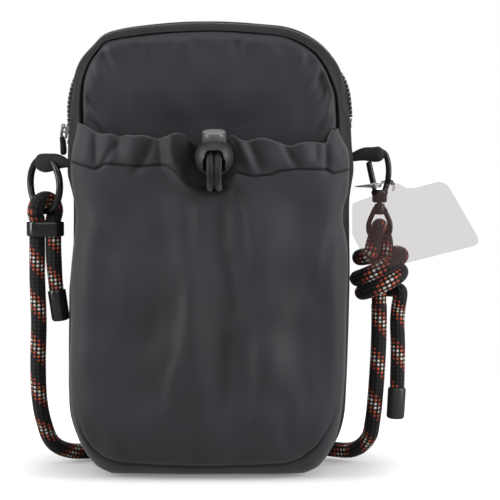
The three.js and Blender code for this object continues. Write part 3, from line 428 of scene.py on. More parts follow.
NYLON = cloth("nylon_cloth", (46, 45, 50), 0.48, sheen=0.15)
POCKET = cloth("pocket_cloth", (47, 46, 51), 0.58, sheen=0.3)
# The border strips take a darker copy of the nylon: painted shade on the band round the bag's sides, top and bottom
BORDER_SHADED = cloth("border_cloth_painted_shade", (29, 28, 32), 0.58, sheen=0.05)
TAPE = cloth("zip_tape_cloth", (30, 30, 31), 0.7, 0.7, 0.06, 0.1)
WEBBING = cloth("tab_webbing", (26, 26, 27), 0.72, 1.1, 0.12, 0.1)
ROPE = braid("braided_rope")
CORD = cloth("drawcord_cloth", (33, 37, 35), 0.62, 0.9, 0.12, 0.15)
TEETH = hard("zip_teeth_dark", (40, 40, 42), 0.4)
BLACK_METAL = hard("black_metal", (27, 27, 29), 0.26, 0.55, 0.35)
GUNMETAL = hard("gunmetal_grey", (112, 113, 115), 0.36, 0.55)
SLIDER = hard("slider_silver", (168, 169, 171), 0.34, 0.6)
STEEL = hard("steel_bare", (186, 187, 190), 0.3, 1.0)
SATIN = hard("satin_plastic", (32, 32, 34), 0.5)
SATIN_DARK = hard("satin_plastic_dark", (44, 44, 45), 0.4)
# Near black for the lock's bores and the button's stem: painted shade inside the lock
INNER_SHADE = hard("inner_dark_painted_shade", (13, 13, 14), 0.8, spec=0.2)
BUTTON = hard("button_grey", (90, 91, 93), 0.42, 0.3)
# A lighter copy of the button's grey for its end face: painted light from above
BUTTON_LIT_TOP = hard("button_grey_painted_lit_top", (150, 151, 152), 0.34, 0.2)
GLOSS = hard("gloss_plastic", (26, 26, 27), 0.16, 0.0, 0.2)
CLEAR = hard("clear_plastic", (104, 77, 76), 0.09, 0.0, 0.1, alpha=0.185)
# The folded tongue: clear plastic made nearly opaque, with light patches by noise as painted glints
FOLDED_GLINTS = hard("clear_plastic_folded_painted_glints", (190, 188, 186), 0.12, 0.0, 0.4, alpha=0.8)
painted_glint = FOLDED_GLINTS.noise(420.0, 1.0).step(0.42, 0.58)
FOLDED_GLINTS.set("Base Color", FOLDED_GLINTS.mix(painted_glint, srgb(70, 69, 68), srgb(226, 224, 222)))


# ---------------------------------------------------------------- rope strap
R_ROPE = 3.75
# The ring's middle, radius and plane, and the side of it that the rope goes round
RING, RING_RADIUS = np.array([-77.5, -4.0, 137.1]), 12.55
D_RING, E_RING = np.array([0.6018, -0.7986, 0.0]), np.array([0.7986, 0.6018, 0.0])
ROPE_ON_RING = 5.65
# The hook's pivot, the bar of the swivel eye and the rope's way round it
HOOK = np.array([80.2, 0.0, 150.4])
BAR = 111.65
REACH = 5.4


def on_ring(deg):
    a = math.radians(deg)
    return RING - RING_RADIUS * UP + ROPE_ON_RING * (math.cos(a) * E_RING + math.sin(a) * UP)


loop_line = smooth_line([
    (-81.4, -4, 112.2), (-81.35, -4, 116.3), (-81.3, -4.1, 119.9), *[on_ring(deg) for deg in (178, 140, 90, 40, 2)],
    (-73.75, -3.9, 119.9), (-73.75, -4, 116.3), (-73.75, -4, 112.2), (-73.7, -4, 103.7), (-73.1, -4, 93.2),
    (-72.2, -4, 84.2),
], 0.9)
# Pressed thinner in the cap
loop_radius = np.interp(np.linspace(0, 1, len(loop_line)), (0.78, 0.9), (R_ROPE, 3.45))
rope_loop = tube("rope_loop", loop_line, loop_radius, ROPE, 24, shift=3.0)
done(rope_loop, "ring", "strap_loop_left", slot="rope")

left_line = smooth_line([
    (-81.4, -4, 112.1), (-81.4, -4, 104), (-81.5, -4, 93.6), (-81.0, -3.5, 72.2), (-81.6, -2, 51.9), (-81.4, 1.5, 34.5),
    (-79.6, 6.5, 21.4), (-76, 12, 11), (-68.5, 19.5, 5.4), (-52.8, 26.5, 4.1), (-39.6, 29.4, 4), (-24, 30, 4),
    (-8.6, 30, 4),
], 1.2)
rope_left = tube("rope_run_left", left_line, R_ROPE, ROPE, 24, shift=9.4)
bending(rope_left, "strap_run_left")

# The coil winds inwards on the ground and outwards in a second layer on top
COIL_TURNS, COIL_RADIUS, COIL_PITCH, COIL_Y = 3, 46, 8.2, 76


def coil_at(u):
    r = COIL_RADIUS - COIL_PITCH * min(u, COIL_TURNS - u)
    a = -math.pi / 2 + 2 * math.pi * u
    return (r * math.cos(a), COIL_Y + r * math.sin(a), 4.0 + COIL_PITCH * ease(u, 1.25, 1.75))


coil_line = np.array([(-8.4, 30, 4), *[coil_at(u) for u in np.linspace(0, COIL_TURNS, 217)], (8.4, 30, 12.2)])
rope_coil = tube("rope_coil", coil_line, R_ROPE, ROPE, 18)
done(rope_coil, "bag", "strap_coil", slot="rope")

right_line = smooth_line([
    (8.6, 30, 12.2), (20.4, 30, 11.9), (33, 29.4, 10.4), (46.2, 27.6, 7), (68, 19, 5.8), (75.8, 9, 13.6), (77.6, 4, 22.8),
    (78.9, 1.3, 37.5), (80, 0.5, 57.2), (80.3, 0, 72.5), (80.2, 0, 79.4),
], 1.2)
rope_right = tube("rope_run_right", right_line, R_ROPE, ROPE, 24, shift=4.0)
bending(rope_right, "strap_run_right")


def wind(u):
    """The knot's turns round the standing rope, from the top (0) to the tail (1)."""
    a = -math.pi / 2 - 2 * math.pi * u * 2.73
    r = 10.2 - 2.6 * max(0.0, 1 - 6 * u) - 2.2 * bell((u - 0.82) / 0.1)
    slant = 0.37 * r * math.cos(a) * math.sin(math.pi * min(max(u, 0.08), 0.92)) ** 0.5
    return (HOOK[0] + r * math.cos(a), r * math.sin(a), 105.9 - 22.4 * u + slant)


knot_line = smooth_line([
    (80.2, 0, 79.4), (80.2, 0, 87.5), (80.6, 0.6, 95.0), (83.0, 1.6, 102.5), (83.4, REACH - 1.2, BAR - 3),
    (81.4, 0.76 * REACH, BAR + 0.66 * REACH), (80.2, 0, BAR + REACH), (79, -0.76 * REACH, BAR + 0.66 * REACH),
    (77.0, -REACH - 0.4, BAR - 2.6), *[wind(u) for u in np.linspace(0.035, 1, 32)],
    (89.4, 2.4, 76.9), (89.0, 1.6, 70.5), (89.3, 0.8, 59.5), (89.0, 0.4, 36.6),
], 0.9)
knot_s = np.linspace(0, 1, len(knot_line))
knot_radius = 3.5 + 0.3 * np.clip((knot_s - 0.2) / 0.05, 0, 1) * np.clip((0.74 - knot_s) / 0.05, 0, 1)
rope_knot = tube("rope_knot", knot_line, knot_radius, ROPE, 24, shift=6.0)
done(rope_knot, "swivel", "strap_knot", slot="rope")


def turn_y(deg):
    c, s = math.cos(math.radians(deg)), math.sin(math.radians(deg))
    return np.array([[c, 0, s], [0, 1, 0], [-s, 0, c]])


# (radius, height) of an end cap, open at its top
CAP = [(0.01, -15), (2.6, -15), (3.5, -14.8), (4.05, -14.3), (4.3, -13.5), (4.3, -0.9), (4.2, -0.35), (3.95, 0), (3.6, 0),
       (3.6, -3)]
cap_left = make("cap_left", *lathe_data(CAP, (-72.5, -4, 87.25), 48, turn_y(-8)), GLOSS, sharp=50)
done(cap_left, "ring", "tail_cap_left", slot="gloss_plastic")
cap_right = make("cap_right", *lathe_data(CAP, (89.0, 0.4, 39.5), 48, turn_y(3)), SATIN_DARK, sharp=50)
done(cap_right, "swivel", "tail_cap_right", slot="satin_plastic")

# The clamp is an oval band round both strands: (radius, z) sections, half of the strands' distance
CLAMP_HALF, CLAMP_STEPS = 3.9, 20
arc = np.linspace(-np.pi / 2, np.pi / 2, CLAMP_STEPS)
rim = np.stack([np.cos(arc), np.sin(arc)], 1)
clamp_loops = []
for r, z in ((3.9, 112.75), (4.6, 112.75), (4.9, 113.1), (4.95, 113.8), (4.95, 118.7), (4.9, 119.4), (4.6, 119.75),
             (3.9, 119.75)):
    halves = [side * (r * rim + (CLAMP_HALF, 0)) + RING[:2] for side in (1, -1)]
    clamp_loops.append(np.column_stack([np.vstack(halves), np.full(2 * CLAMP_STEPS, z)]))
clamp_faces = grid_faces(len(clamp_loops), 2 * CLAMP_STEPS, True, True)
clamp = make("clamp_gloss", np.vstack(clamp_loops), clamp_faces, GLOSS, sharp=60)
done(clamp, "ring", "clamp_band", slot="gloss_plastic")

# A tie holds the spare rope
tie_loop = smooth_line([
    (122.3, 4), (122.4, 12.2), (119.8, 16.2), (116, 16.4), (107, 11.8), (105.2, 8.1), (107, 4), (115.5, 0.6),
    (119.6, 0.6),
], 0.8, True)
tie_in = tie_loop + 0.6 * unit(tie_loop.mean(0) - tie_loop)
tie_rows = [(-2.6, tie_in), (-2.6, tie_loop), (2.6, tie_loop), (2.6, tie_in)]
coil_tie = make(
    "coil_tie", np.vstack([np.column_stack([np.full(len(l), x), l]) for x, l in tie_rows]),
    grid_faces(4, len(tie_loop), True, True), WEBBING, sharp=40)
done(coil_tie, "bag", slot="webbing")


# ---------------------------------------------------------------- bag outline, seen from the front
OUTLINE = smooth_line([
    (-66.2, 155), (-66, 168), (-66, 178), (-64.4, 187.5), (-60.1, 196), (-54.1, 202.8), (-50.6, 206.4), (-47.4, 208),
    (-37.5, 210.4), (-22, 212.1), (0, 213.2), (21, 212.2), (38.6, 209.7), (51.8, 202.9), (58.6, 195.4), (62.2, 188.4),
    (64.9, 181), (66, 173), (66.8, 155), (67.6, 145), (67, 138), (66.4, 130), (66.4, 100), (66, 73), (65.2, 46), (63.6, 27),
    (60, 16), (52.6, 6), (44, 2.2), (28.4, 0.6), (0, 0.05), (-28.4, 0.6), (-45, 2.0), (-55, 5.8), (-61.2, 14.6), (-66, 27),
    (-67.2, 40), (-66.8, 73), (-66.2, 100), (-65.8, 130), (-66.6, 144),
], 1.5, True)
N_OUT = len(OUTLINE)
tangent = unit(np.roll(OUTLINE, -1, 0) - np.roll(OUTLINE, 1, 0))
NORMAL = np.stack([-tangent[:, 1], tangent[:, 0]], 1)
for _ in range(6):
    NORMAL = unit((np.roll(NORMAL, 1, 0) + 2 * NORMAL + np.roll(NORMAL, -1, 0)) / 4)
# Insets are smaller over the top and at its left corner
INWARD = NORMAL * (1 - 0.5 * np.clip(NORMAL[:, 1:], 0, 1) ** 1.5)
INWARD *= 1 - 0.3 * bell(np.linalg.norm(OUTLINE - (-52, 204), axis=1) / 11)[:, None]
MIDDLE = np.array([0.0, 106.5])
# The zip runs over the upper part, from the outline's first point to the one near (66, 164)
top_end = int(np.argmin(np.linalg.norm(OUTLINE - (66, 164), axis=1)))
LOWER = [*range(top_end, N_OUT), 0]
UPPER = list(range(0, top_end + 1))
HALF_DEPTH = 18


def roll_at(y):
    """How far the border has rolled in at the depth y."""
    return 5.2 * np.maximum(0, (np.abs(y) / HALF_DEPTH - 0.5) / 0.5) ** 2.1


# (depth, inset) of the border where it turns in to the wall seam
TURN_IN = [(18.5, 5.75), (18.35, 6.35), (17.5, 6.8), (16.4, 7.0)]


def skin(run, profile):
    """Points of (y, inset) pairs carried along part of the outline."""
    p, n = OUTLINE[run], INWARD[run]
    prof = np.array(profile, float)
    flat = p[:, None] - n[:, None] * prof[None, :, 1:]
    y = np.broadcast_to(prof[None, :, :1], (*flat.shape[:2], 1))
    return np.concatenate([flat[..., :1], y, flat[..., 1:]], 2)


def grid_uv(points, faces):
    """UV in millimetres along the rows and columns of a grid of points."""
    ways = [np.cumsum(np.linalg.norm(np.diff(points, axis=k), axis=2).mean(1 - k)) for k in (0, 1)]
    uv = np.stack(np.meshgrid(*[np.concatenate([[0], way]) for way in ways], indexing="ij"), 2).reshape(-1, 2)
    return [uv[i] for f in faces for i in f]


def sheet_piece(name, points, paint, wrap=True, flip=False, painted_shade_mask=None, rough=0.0, seed=0.0):
    """A skin over a grid of points, made uneven by up to rough."""
    faces = grid_faces(*points.shape[:2], False, wrap, flip)
    verts = points.reshape(-1, 3)
    if rough:
        verts = verts + ruffle(verts, rough, 0.045, seed)
    return make(name, verts, faces, paint, grid_uv(points, faces), painted_shade_mask)


# Sides and bottom: one soft band whose edges roll in to the seams
band_profile = [(-y, d) for y, d in TURN_IN[::-1]]
band_profile += [(y, roll_at(y)) for y in np.linspace(-HALF_DEPTH, HALF_DEPTH, 41)] + TURN_IN
band_profile += [(y, roll_at(y) + 1.5) for y in np.linspace(15.5, -15.5, 13)]
band = skin(LOWER, band_profile)
band_x, band_y, band_z = np.moveaxis(band, 2, 0)
# The sides sag in a little at mid height and below the hem
sag = 0.9 * bell((band_z - 62) / 40) * np.cos(band_y / 11.5)
sag += np.where(band_x < 0, 1.9, 0.5) * np.interp(band_z, (88, 110, 131, 142), (0, 1, 1, 0))
band[..., 0] -= np.sign(band_x) * sag * (np.abs(band_x) > 55)
side_band = sheet_piece("side_band", band, BORDER_SHADED, flip=True, rough=0.35, seed=3.0)
done(side_band, "bag", "gusset_base", slot="nylon")


# Towards its ends the zip is bared by the strips beside it, and over the top it lies sunk between them.
# Round the left shoulder it keeps inside the slider's way, an arc about TURN.
TURN, TURN_RADIUS = np.array([-28.0, 172.06]), 38.0
up_line, up_out = OUTLINE[UPPER], NORMAL[UPPER]


def hump(v, low, top, high):
    return ease(v, low, top) * ease(-v, -high, -top)


bared = 2.0 * np.where(up_line[:, 0] < 0, hump(up_line[:, 1], 158, 180, 197), hump(up_line[:, 1], 163, 177, 193))
from_turn = up_line - TURN
over = np.degrees(np.arctan2(from_turn[:, 1], -from_turn[:, 0]))
past = np.clip(np.linalg.norm(from_turn, axis=1) - TURN_RADIUS, 0, None) * ease(over, 0, 4) * ease(-over, -100, -92)
sunk = 1.3 * ease(up_line[:, 1], 185, 195)
zip_line = up_line - up_out * np.maximum(sunk, past)[:, None]


# Strips beside the zip, turned in at the zip and rolled in at the wall seams
def strip(side):
    rows = [(5.6, 2.4), (5.0, 1.5), (4.9, 0.7), (5.0, 0.1), (5.3, -0.2), (5.9, -0.25), (6.5, -0.1)]
    rows += [(v, roll_at(v) - 0.12 * bell((v - 9.5) / 2.2)) for v in np.linspace(5.0, HALF_DEPTH, 22)[3:]]
    rows += TURN_IN
    rows += [(v, roll_at(v) + 1.5) for v in np.linspace(15.4, 6.6, 7)]
    points = skin(UPPER, [(side * v, d) for v, d in rows])
    drawn = bared[:, None] * (1 - ease(np.abs(points[..., 1]), 12, HALF_DEPTH))
    points[..., [0, 2]] -= up_out[:, None] * drawn[..., None]
    # The mask paints shade on the rows that turn in to the wall seam
    return points, np.tile([min(max((d - 5.6) / 0.9, 0), 1) for _, d in rows], len(points))


for side, end in ((-1, "front"), (1, "back")):
    points, painted_shade_mask = strip(side)
    o = sheet_piece(f"zip_strip_{end}", points, BORDER_SHADED, flip=side > 0, painted_shade_mask=painted_shade_mask, rough=0.3, seed=11.0 + side)
    done(o, "bag", f"zip_gusset_{end}", slot="nylon")

# Zip tapes: (distance from the middle, inset, share of the strips' draw)
TAPE_ROWS = [(1.2, 0.2, 0), (2.5, 0.28, 0.12), (4.0, 0.5, 0.6), (5.6, 0.6, 1), (5.6, 1.5, 1), (1.2, 1.5, 0)]
for side, end in ((-1, "front"), (1, "back")):
    rows = [upright(zip_line - up_out * (d + share * bared)[:, None], side * v) for v, d, share in TAPE_ROWS]
    o = sheet_piece(f"tape_{end}", np.stack(rows, 1), TAPE, flip=side > 0)
    done(o, "bag", f"zip_tape_{end}", slot="webbing")

# Zip teeth: two rows that reach between each other
TOOTH_PITCH = 1.05
# Sections of a tooth from its root to its head: depth, half thickness, lower and upper edge
TOOTH = [(2.7, 0.42, 0.3, -0.55), (2.3, 0.5, 0.35, -0.95), (0.9, 0.4, 0.35, -1.0), (0.2, 0.5, 0.3, -0.95),
         (-0.55, 0.48, 0.2, -0.8), (-0.8, 0.3, 0.0, -0.5)]
zip_s = run_along(zip_line)


def tooth(s, side):
    """One moulded tooth with a rounded head past the middle line."""
    p, n = (np.array([np.interp(s, zip_s, v[:, k]) for k in (0, 1)]) for v in (zip_line, up_out))
    n /= np.linalg.norm(n)
    t = np.array([n[1], -n[0]])
    out = []
    for y, half, low, high in TOOTH:
        for a, d in ((-half, low), (-half * 0.8, high), (half * 0.8, high), (half, low)):
            q = p + t * a - n * d
            out.append((q[0], side * y, q[1]))
    return np.array(out), grid_faces(6, 4, False, True, side > 0) + [(0, 1, 2, 3), (23, 22, 21, 20)]


teeth = [tooth(s, 1 if k % 2 else -1) for k, s in enumerate(np.arange(10.4, zip_s[-1] - 4.4, TOOTH_PITCH))]
zip_teeth = merged("zip_teeth", teeth, TEETH, sharp=50)
done(zip_teeth, "bag", "zip_chain", slot="zip_teeth")


# Front and back walls, domed, with a rolled seam round the edge
def wall(side):
    # (inset, depth) of the seam
    rows = [(7.0, 16.0), (7.05, 17.0), (7.35, 17.9), (7.95, 18.6), (8.9, 19.0)]
    out = [upright(OUTLINE - INWARD * d, side * y) for d, y in rows]
    inset, front = rows[-1]
    edge = OUTLINE - INWARD * inset
    pleat = np.array([noise.noise(Vector((t * 0.15, 3.1 * side, 0.4))) for t in run_along(OUTLINE)])
    for f in (*np.linspace(0.985, 0.6, 24), 0.51, 0.4, 0.29, 0.18, 0.08, 0.002):
        q = MIDDLE + f * (edge - MIDDLE)
        x, z = q.T
        # Small uneven pleats along the seam over the top, soft crumples over the outer half
        tuck = pleat * np.clip((z - 148) / 18, 0, 1) * bell((1 - f) / 0.09) * min(1, (1 - f) / 0.03)
        crumple = uneven(x, z, 9.0 + side) * min(1, (1 - f) / 0.06) * ease(f, 0.5, 0.7)
        y = front + 3.0 * (1 - f**2) + 2.8 * tuck + 1.3 * crumple
        if side < 0:
            # The front puffs out over the pocket
            y += 3.4 * (1 - ease(np.abs(x + 3 + 2.5 * np.sin(z / 8)), 24, 54)) * ease(z, 164, 184)
        out.append(upright(q, side * y))
    return np.array(out)


for side, end in ((-1, "front"), (1, "back")):
    points = wall(side)
    # Painted shade on the rows that turn in to the seam groove
    painted_shade_mask = np.repeat(np.clip(1.25 - np.arange(len(points)) / 2.4, 0, 1), N_OUT)
    o = sheet_piece(f"{end}_wall", points, NYLON, flip=side > 0, painted_shade_mask=painted_shade_mask, rough=0.35, seed=20.0 + side)
    done(o, "bag", f"{end}_panel", slot="nylon")


# ---------------------------------------------------------------- gathered pocket
# The plane it is sewn on, its bulge before that plane below and at the hem, its foot and the hem's height
SEWN_Y, BULGE, HEM_BULGE, FOOT_Z, HEM_Z = -15.2, 21.0, 18.6, 1.3, 146
# Half widths: of the drapes' scale, of the top edge, of the cord's way in the hem
HALF_WIDTH, TOP_HALF, CORD_HALF = 66, 64.5, 59.6
# (z, x) of the side edges, (x, z) of the top edge and of the hem's stitching
EDGE_LEFT = [(1, -46), (4, -52), (8, -55.8), (15, -60.2), (28, -64.6), (46, -65.6), (73, -65), (88, -65), (99, -64.6),
             (109, -63.5), (119, -62.5), (126, -62.2), (133, -63.2), (141, -64.3), (147, -64.5), (154.5, -63.8), (162, -62),
             (172, -60.5)]
EDGE_RIGHT = [(1, 44.5), (4, 50.4), (8, 54), (15, 58), (28, 61.6), (46, 63.4), (73, 64.2), (95, 64.8), (105, 64.8),
              (113, 64.1), (120.5, 62.5), (127.5, 62.7), (136, 65), (143, 65.3), (155, 64.4), (162, 60.8), (172, 59)]
TOP = [(-66, 166), (-64, 166.7), (-61.5, 166), (-58.5, 164.5), (-55.5, 163.2), (-52.4, 162.4), (-46, 162.4), (-42.2, 161),
       (-40, 161.9), (-36, 161.8), (-31, 162), (-26.5, 160.7), (-23.5, 160.4), (-21, 161.4), (-17.5, 163.3), (-14, 163.5),
       (-11.3, 162), (-8, 158.6), (-4, 156.4), (2.4, 155.6), (7, 157), (9.5, 161), (11.5, 162.2), (14.5, 160.6), (18, 159.4),
       (25, 160.8), (31.5, 159.4), (35.5, 157.6), (38, 157), (43, 158.3), (47.5, 158.7), (51, 158.2), (55.5, 157.9),
       (58.3, 159), (60.5, 161.6), (62.5, 163.6), (64, 163.9), (66, 162.5)]
HEM_LEFT = [(-66, 150.2), (-52.4, 146.6), (-47.7, 149.2), (-32.7, 148.3), (-20.9, 149), (-17.6, 148.3), (-13, 144.4),
            (-7, 138.5)]
HEM_RIGHT = [(10, 143.8), (12.9, 145.8), (20.4, 143.6), (28.4, 144.3), (32.2, 145.9), (41.6, 146.9), (54.3, 146.4),
             (57.6, 144.5), (66, 146.2)]
# Folds at the hem and below it, outwards or inwards: height, half width and the line from its upper end
FOLDS = [
    (1.0, 5.0, [(-57.5, 161), (-58.5, 146)]),
    (-1.3, 1.7, [(-52.6, 165), (-52.3, 154), (-52.0, 144.5)]),
    (1.2, 3.4, [(-46, 162), (-46.5, 154), (-49.5, 146)]),
    (-1.1, 1.6, [(-43.5, 157.5), (-48, 151), (-52.4, 145)]),
    (-0.8, 1.8, [(-42.2, 163), (-41.4, 151)]),
    (1.9, 4.2, [(-33.5, 161), (-35.5, 154), (-37, 145)]),
    (-1.9, 1.9, [(-26.4, 163), (-28.3, 155), (-32.0, 149), (-35.5, 142)]),
    (-1.2, 1.8, [(-22.8, 163), (-22.2, 153), (-20.4, 145)]),
    (6.2, 3.5, [(-16.2, 165), (-17.2, 158), (-16, 151), (-12, 144), (-7, 138.5), (-1, 131)]),
    (-8.2, 6.6, [(2.4, 163), (2.4, 150), (2.4, 136)]),
    (-4.2, 2.6, [(-9.0, 162), (-8.6, 152), (-5, 144), (-1, 136)]),
    (2.6, 2.6, [(11.3, 164), (14.8, 158.5), (18.6, 151), (23, 142)]),
    (1.3, 2.8, [(9, 150), (11, 143), (8, 132)]),
    (-1.3, 1.8, [(17.4, 162), (20.8, 153), (25.5, 142)]),
    (1.3, 5.2, [(26.5, 160), (28.5, 146)]),
    (-1.4, 1.8, [(33.8, 161), (37.3, 153.5), (43, 144.5)]),
    (1.2, 3.4, [(43.5, 158), (46, 147)]),
    (-0.7, 1.7, [(49.5, 160), (50, 149)]),
    (-1.5, 1.7, [(54.3, 162), (54.4, 151), (54.3, 142)]),
    (1.2, 4.0, [(59.4, 162), (60.2, 146)]),
    (-1.2, 2.2, [(-2, 134), (-5, 124), (-6.5, 104)]),
    (-1.3, 2.4, [(12, 137), (15.5, 124), (18, 100)]),
    (-1.2, 2.4, [(1.8, 13), (1.6, 1)]),
]
# Long creases down the pocket: height, half width of the left and of the right flank, line from its upper end
CREASES = [
    (2.0, 3.2, 10.0, [(-6, 122), (-8, 92), (-10, 76), (-12.4, 62), (-17.7, 45), (-19.4, 22)]),
    (1.5, 3.4, 7.0, [(-60, 136), (-50, 120), (-40.7, 110.5), (-38, 92), (-39, 64)]),
    (1.5, 7.0, 3.4, [(63, 139), (54, 123), (50.3, 107), (49, 84)]),
    (-1.3, 3.2, 3.6, [(8.0, 112), (10.5, 92), (12.5, 70)]),
    (1.7, 4.2, 8.0, [(23, 84), (24, 46), (20, 14)]),
    (-1.3, 5.5, 5.5, [(-23, 106), (-24, 84), (-28, 58)]),
    (-0.8, 3.0, 4.0, [(-44, 40), (-40, 24), (-41, 8)]),
    (-0.9, 4.0, 3.0, [(38, 44), (36, 24), (38, 8)]),
]
# The seam where the pocket meets the base
BASE_SEAM = [(-63.4, 40), (-62.4, 31), (-59.5, 22), (-55, 15), (-49, 10.2), (-42, 7.8), (-22, 6.9), (0, 6.5), (20, 6.9),
             (36, 7.8), (43, 10.2), (49.5, 15.5), (55.5, 24), (59.6, 33), (61.4, 42)]
# Upright drapes as in the solid: share of the depth, half width, place at the hem and at the base by half the width
DRAPE_DEPTH = 2.4
DRAPES = [(0.6, 0.11, -0.88, -0.89), (-0.85, 0.15, -0.53, -0.5), (1, 0.095, -0.2, -0.1), (-0.95, 0.07, 0.07, 0.11),
          (1.1, 0.125, 0.31, 0.42), (-0.75, 0.135, 0.7, 0.71), (0.5, 0.09, 0.91, 0.91)]
# (z, left x, right x) of the pit round the lock, where shade is painted
PIT = [(134, -4, 6), (140, -11, 10.5), (146, -14.5, 11.8), (152, -15, 13), (160, -13, 11)]


def drape(x, z):
    up = z / HEM_Z
    total = 0
    for share, wide, top, low in DRAPES:
        total = total + DRAPE_DEPTH * share * bell((x / HALF_WIDTH - low - (top - low) * ease(up, 0.35, 1)) / wide)
    return ease(up, 0.1, 0.4) * (1 - ease(up, 0.84, 0.99)) * total


def to_line(x, z, line):
    """How far points are from a line, how far along it, and on which side: under 0 is left of a falling line."""
    best, along, side = np.full(x.shape, 1e9), np.zeros(x.shape), np.zeros(x.shape)
    for k, ((ax, az), (bx, bz)) in enumerate(zip(line, line[1:])):
        dx, dz = bx - ax, bz - az
        t = np.clip(((x - ax) * dx + (z - az) * dz) / (dx * dx + dz * dz), 0, 1)
        far = np.hypot(x - ax - t * dx, z - az - t * dz)
        along = np.where(far < best, (k + t) / (len(line) - 1), along)
        side = np.where(far < best, dx * (z - az) - dz * (x - ax), side)
        best = np.minimum(best, far)
    return best, along, side


def bulge(z):
    """How far the pocket's middle stands before the sewn plane."""
    low = BULGE * np.sqrt(np.clip(1 - (1 - np.clip((z - 1.0) / 34, 0, 1)) ** 2, 0, 1))
    rise = np.clip((z - 84) / 75, 0, 1)
    return np.where(z < 84, low, HEM_BULGE + (BULGE - HEM_BULGE) * np.cos(rise * np.pi / 2) ** 2)


def pocket_points(cols, rows, depth=0.0):
    """Pocket skin: cols are turns from the left seam to the right, rows run from the base to the top edge."""
    c = -np.cos(cols)
    across = np.sign(c) * np.abs(c) ** (2 / 3)
    out = np.abs(np.sin(cols)) ** (2 / 3)
    top = hermite(across * TOP_HALF, TOP)
    z = FOOT_Z + (top - FOOT_Z) * rows[:, None]
    left, right = (hermite(z.ravel(), edge).reshape(z.shape) for edge in (EDGE_LEFT, EDGE_RIGHT))
    x = np.where(across < 0, -left, right) * across
    d = drape(x, z) + 1.3 * uneven(x, z, 4.0) * (1 - ease(z, 124, 138))
    for high, wide, line in FOLDS:
        far, along, _ = to_line(x, z, line)
        d += high * bell(far / wide) * (1 - ease(along, 0.55, 1))
    for high, left, right, line in CREASES:
        far, along, side = to_line(x, z, line)
        d += high * bell(far / np.where(side < 0, left, right)) * ease(along, 0, 0.3) * (1 - ease(along, 0.65, 1))
    hem = np.minimum(to_line(x, z, HEM_LEFT)[0], to_line(x, z, HEM_RIGHT)[0])
    d -= 0.8 * bell(hem / 0.7)
    fade = np.clip(out * 1.6 - 0.25, 0, 1) * np.clip((z - 2) / 12, 0, 1)
    foot, along, _ = to_line(x, z, BASE_SEAM)
    sewn = 1 - ease(np.abs(along - 0.5), 0.3, 0.5)
    y = SEWN_Y - (bulge(z) - depth) * out - d * fade + 0.9 * sewn * bell(foot / 0.9)
    pit_z, left, right = np.array(PIT).T
    pit = ease(x - np.interp(z, pit_z, left), -2, 5) * ease(np.interp(z, pit_z, right) - x, -3, 4) * ease(z, 132, 138)
    # Painted shade along the hem stitching, in the pit round the lock and along the base seam
    marks = 0.9 * bell(hem / 0.55) * np.clip(out * 3, 0, 1), 0.9 * pit, 0.8 * sewn * bell(foot / 0.5)
    return np.stack([x * (1 - depth / 70), np.minimum(y, SEWN_Y), z], 2), np.maximum.reduce(marks)


cols = np.linspace(0, np.pi, 241)
cols = cols - 0.32 * np.sin(2 * cols) / 2
# Rows lie closer at the base and at the hem
rows = [np.linspace(0, 1, 44)[:-1] ** 1.7 * 0.2, np.linspace(0.2, 0.84, 60)[:-1], np.linspace(0.84, 1.0, 56)]
outer, mark = pocket_points(cols, np.concatenate(rows))
# The top edge turns over to the inside
lip = [outer[-1:] + (0, dy, dz) for dy, dz in ((0.35, 0.45), (1.1, 0.7), (1.9, 0.4))]
lip.append(pocket_points(cols, np.linspace(1.0, 0.93, 10), 2.4)[0])
points = np.concatenate([outer, *lip], 0)
# The side edges turn under, towards the side band
under = [(0.25, 0.9), (1.1, 1.5), (2.6, 1.2)]
left_edge = [points[:, :1] + (dx, dy, 0) for dx, dy in under[::-1]]
right_edge = [points[:, -1:] + (-dx, dy, 0) for dx, dy in under]
points = np.concatenate([*left_edge, points, *right_edge], 1)
mark = np.concatenate([mark, np.repeat(mark[-1:], len(points) - len(mark), 0)], 0)
mark = np.pad(mark, ((0, 0), (len(under), len(under))))
pocket = sheet_piece("pocket_gathered", points, POCKET, False, painted_shade_mask=mark.ravel(), rough=0.25, seed=31.0)
done(pocket, "bag", "pocket_panel", "pocket_casing", slot="nylon")

# ---------------------------------------------------------------- cord lock and drawcords
LOCK = np.array([2.65, -43.1, 153.5])
CORD_Z = LOCK[2] + 1.5
BALL = 8.9


def cut_by(o, *tools):
    """The object less the tools, worked out once."""
    for t in tools:
        m = o.modifiers.new("cut", "BOOLEAN")
        m.operation, m.solver, m.object = "DIFFERENCE", "EXACT", t
        bpy.context.view_layer.objects.active = o
        bpy.ops.object.modifier_apply(modifier=m.name)
        bpy.data.objects.remove(t)


def cutter(name, outline, y0=-60, y1=-30):
    """A closed (x, z) outline about the lock's middle, pushed along Y."""
    q = np.array(outline, float) + LOCK[[0, 2]]
    n = len(q)
    faces = grid_faces(2, n, False, True) + end_faces(2, n)
    o = make(name, np.vstack([upright(q, y0), upright(q, y1)]), faces, SATIN)
    bm = bmesh.new()
    bm.from_mesh(o.data)
    bmesh.ops.recalc_face_normals(bm, faces=bm.faces)
    bm.to_mesh(o.data)
    bm.free()
    return o


def arc_points(cx, cz, r, a0, a1, n):
    a = np.radians(np.linspace(a0, a1, n))
    return [(cx + r * math.cos(t), cz + r * math.sin(t)) for t in a]


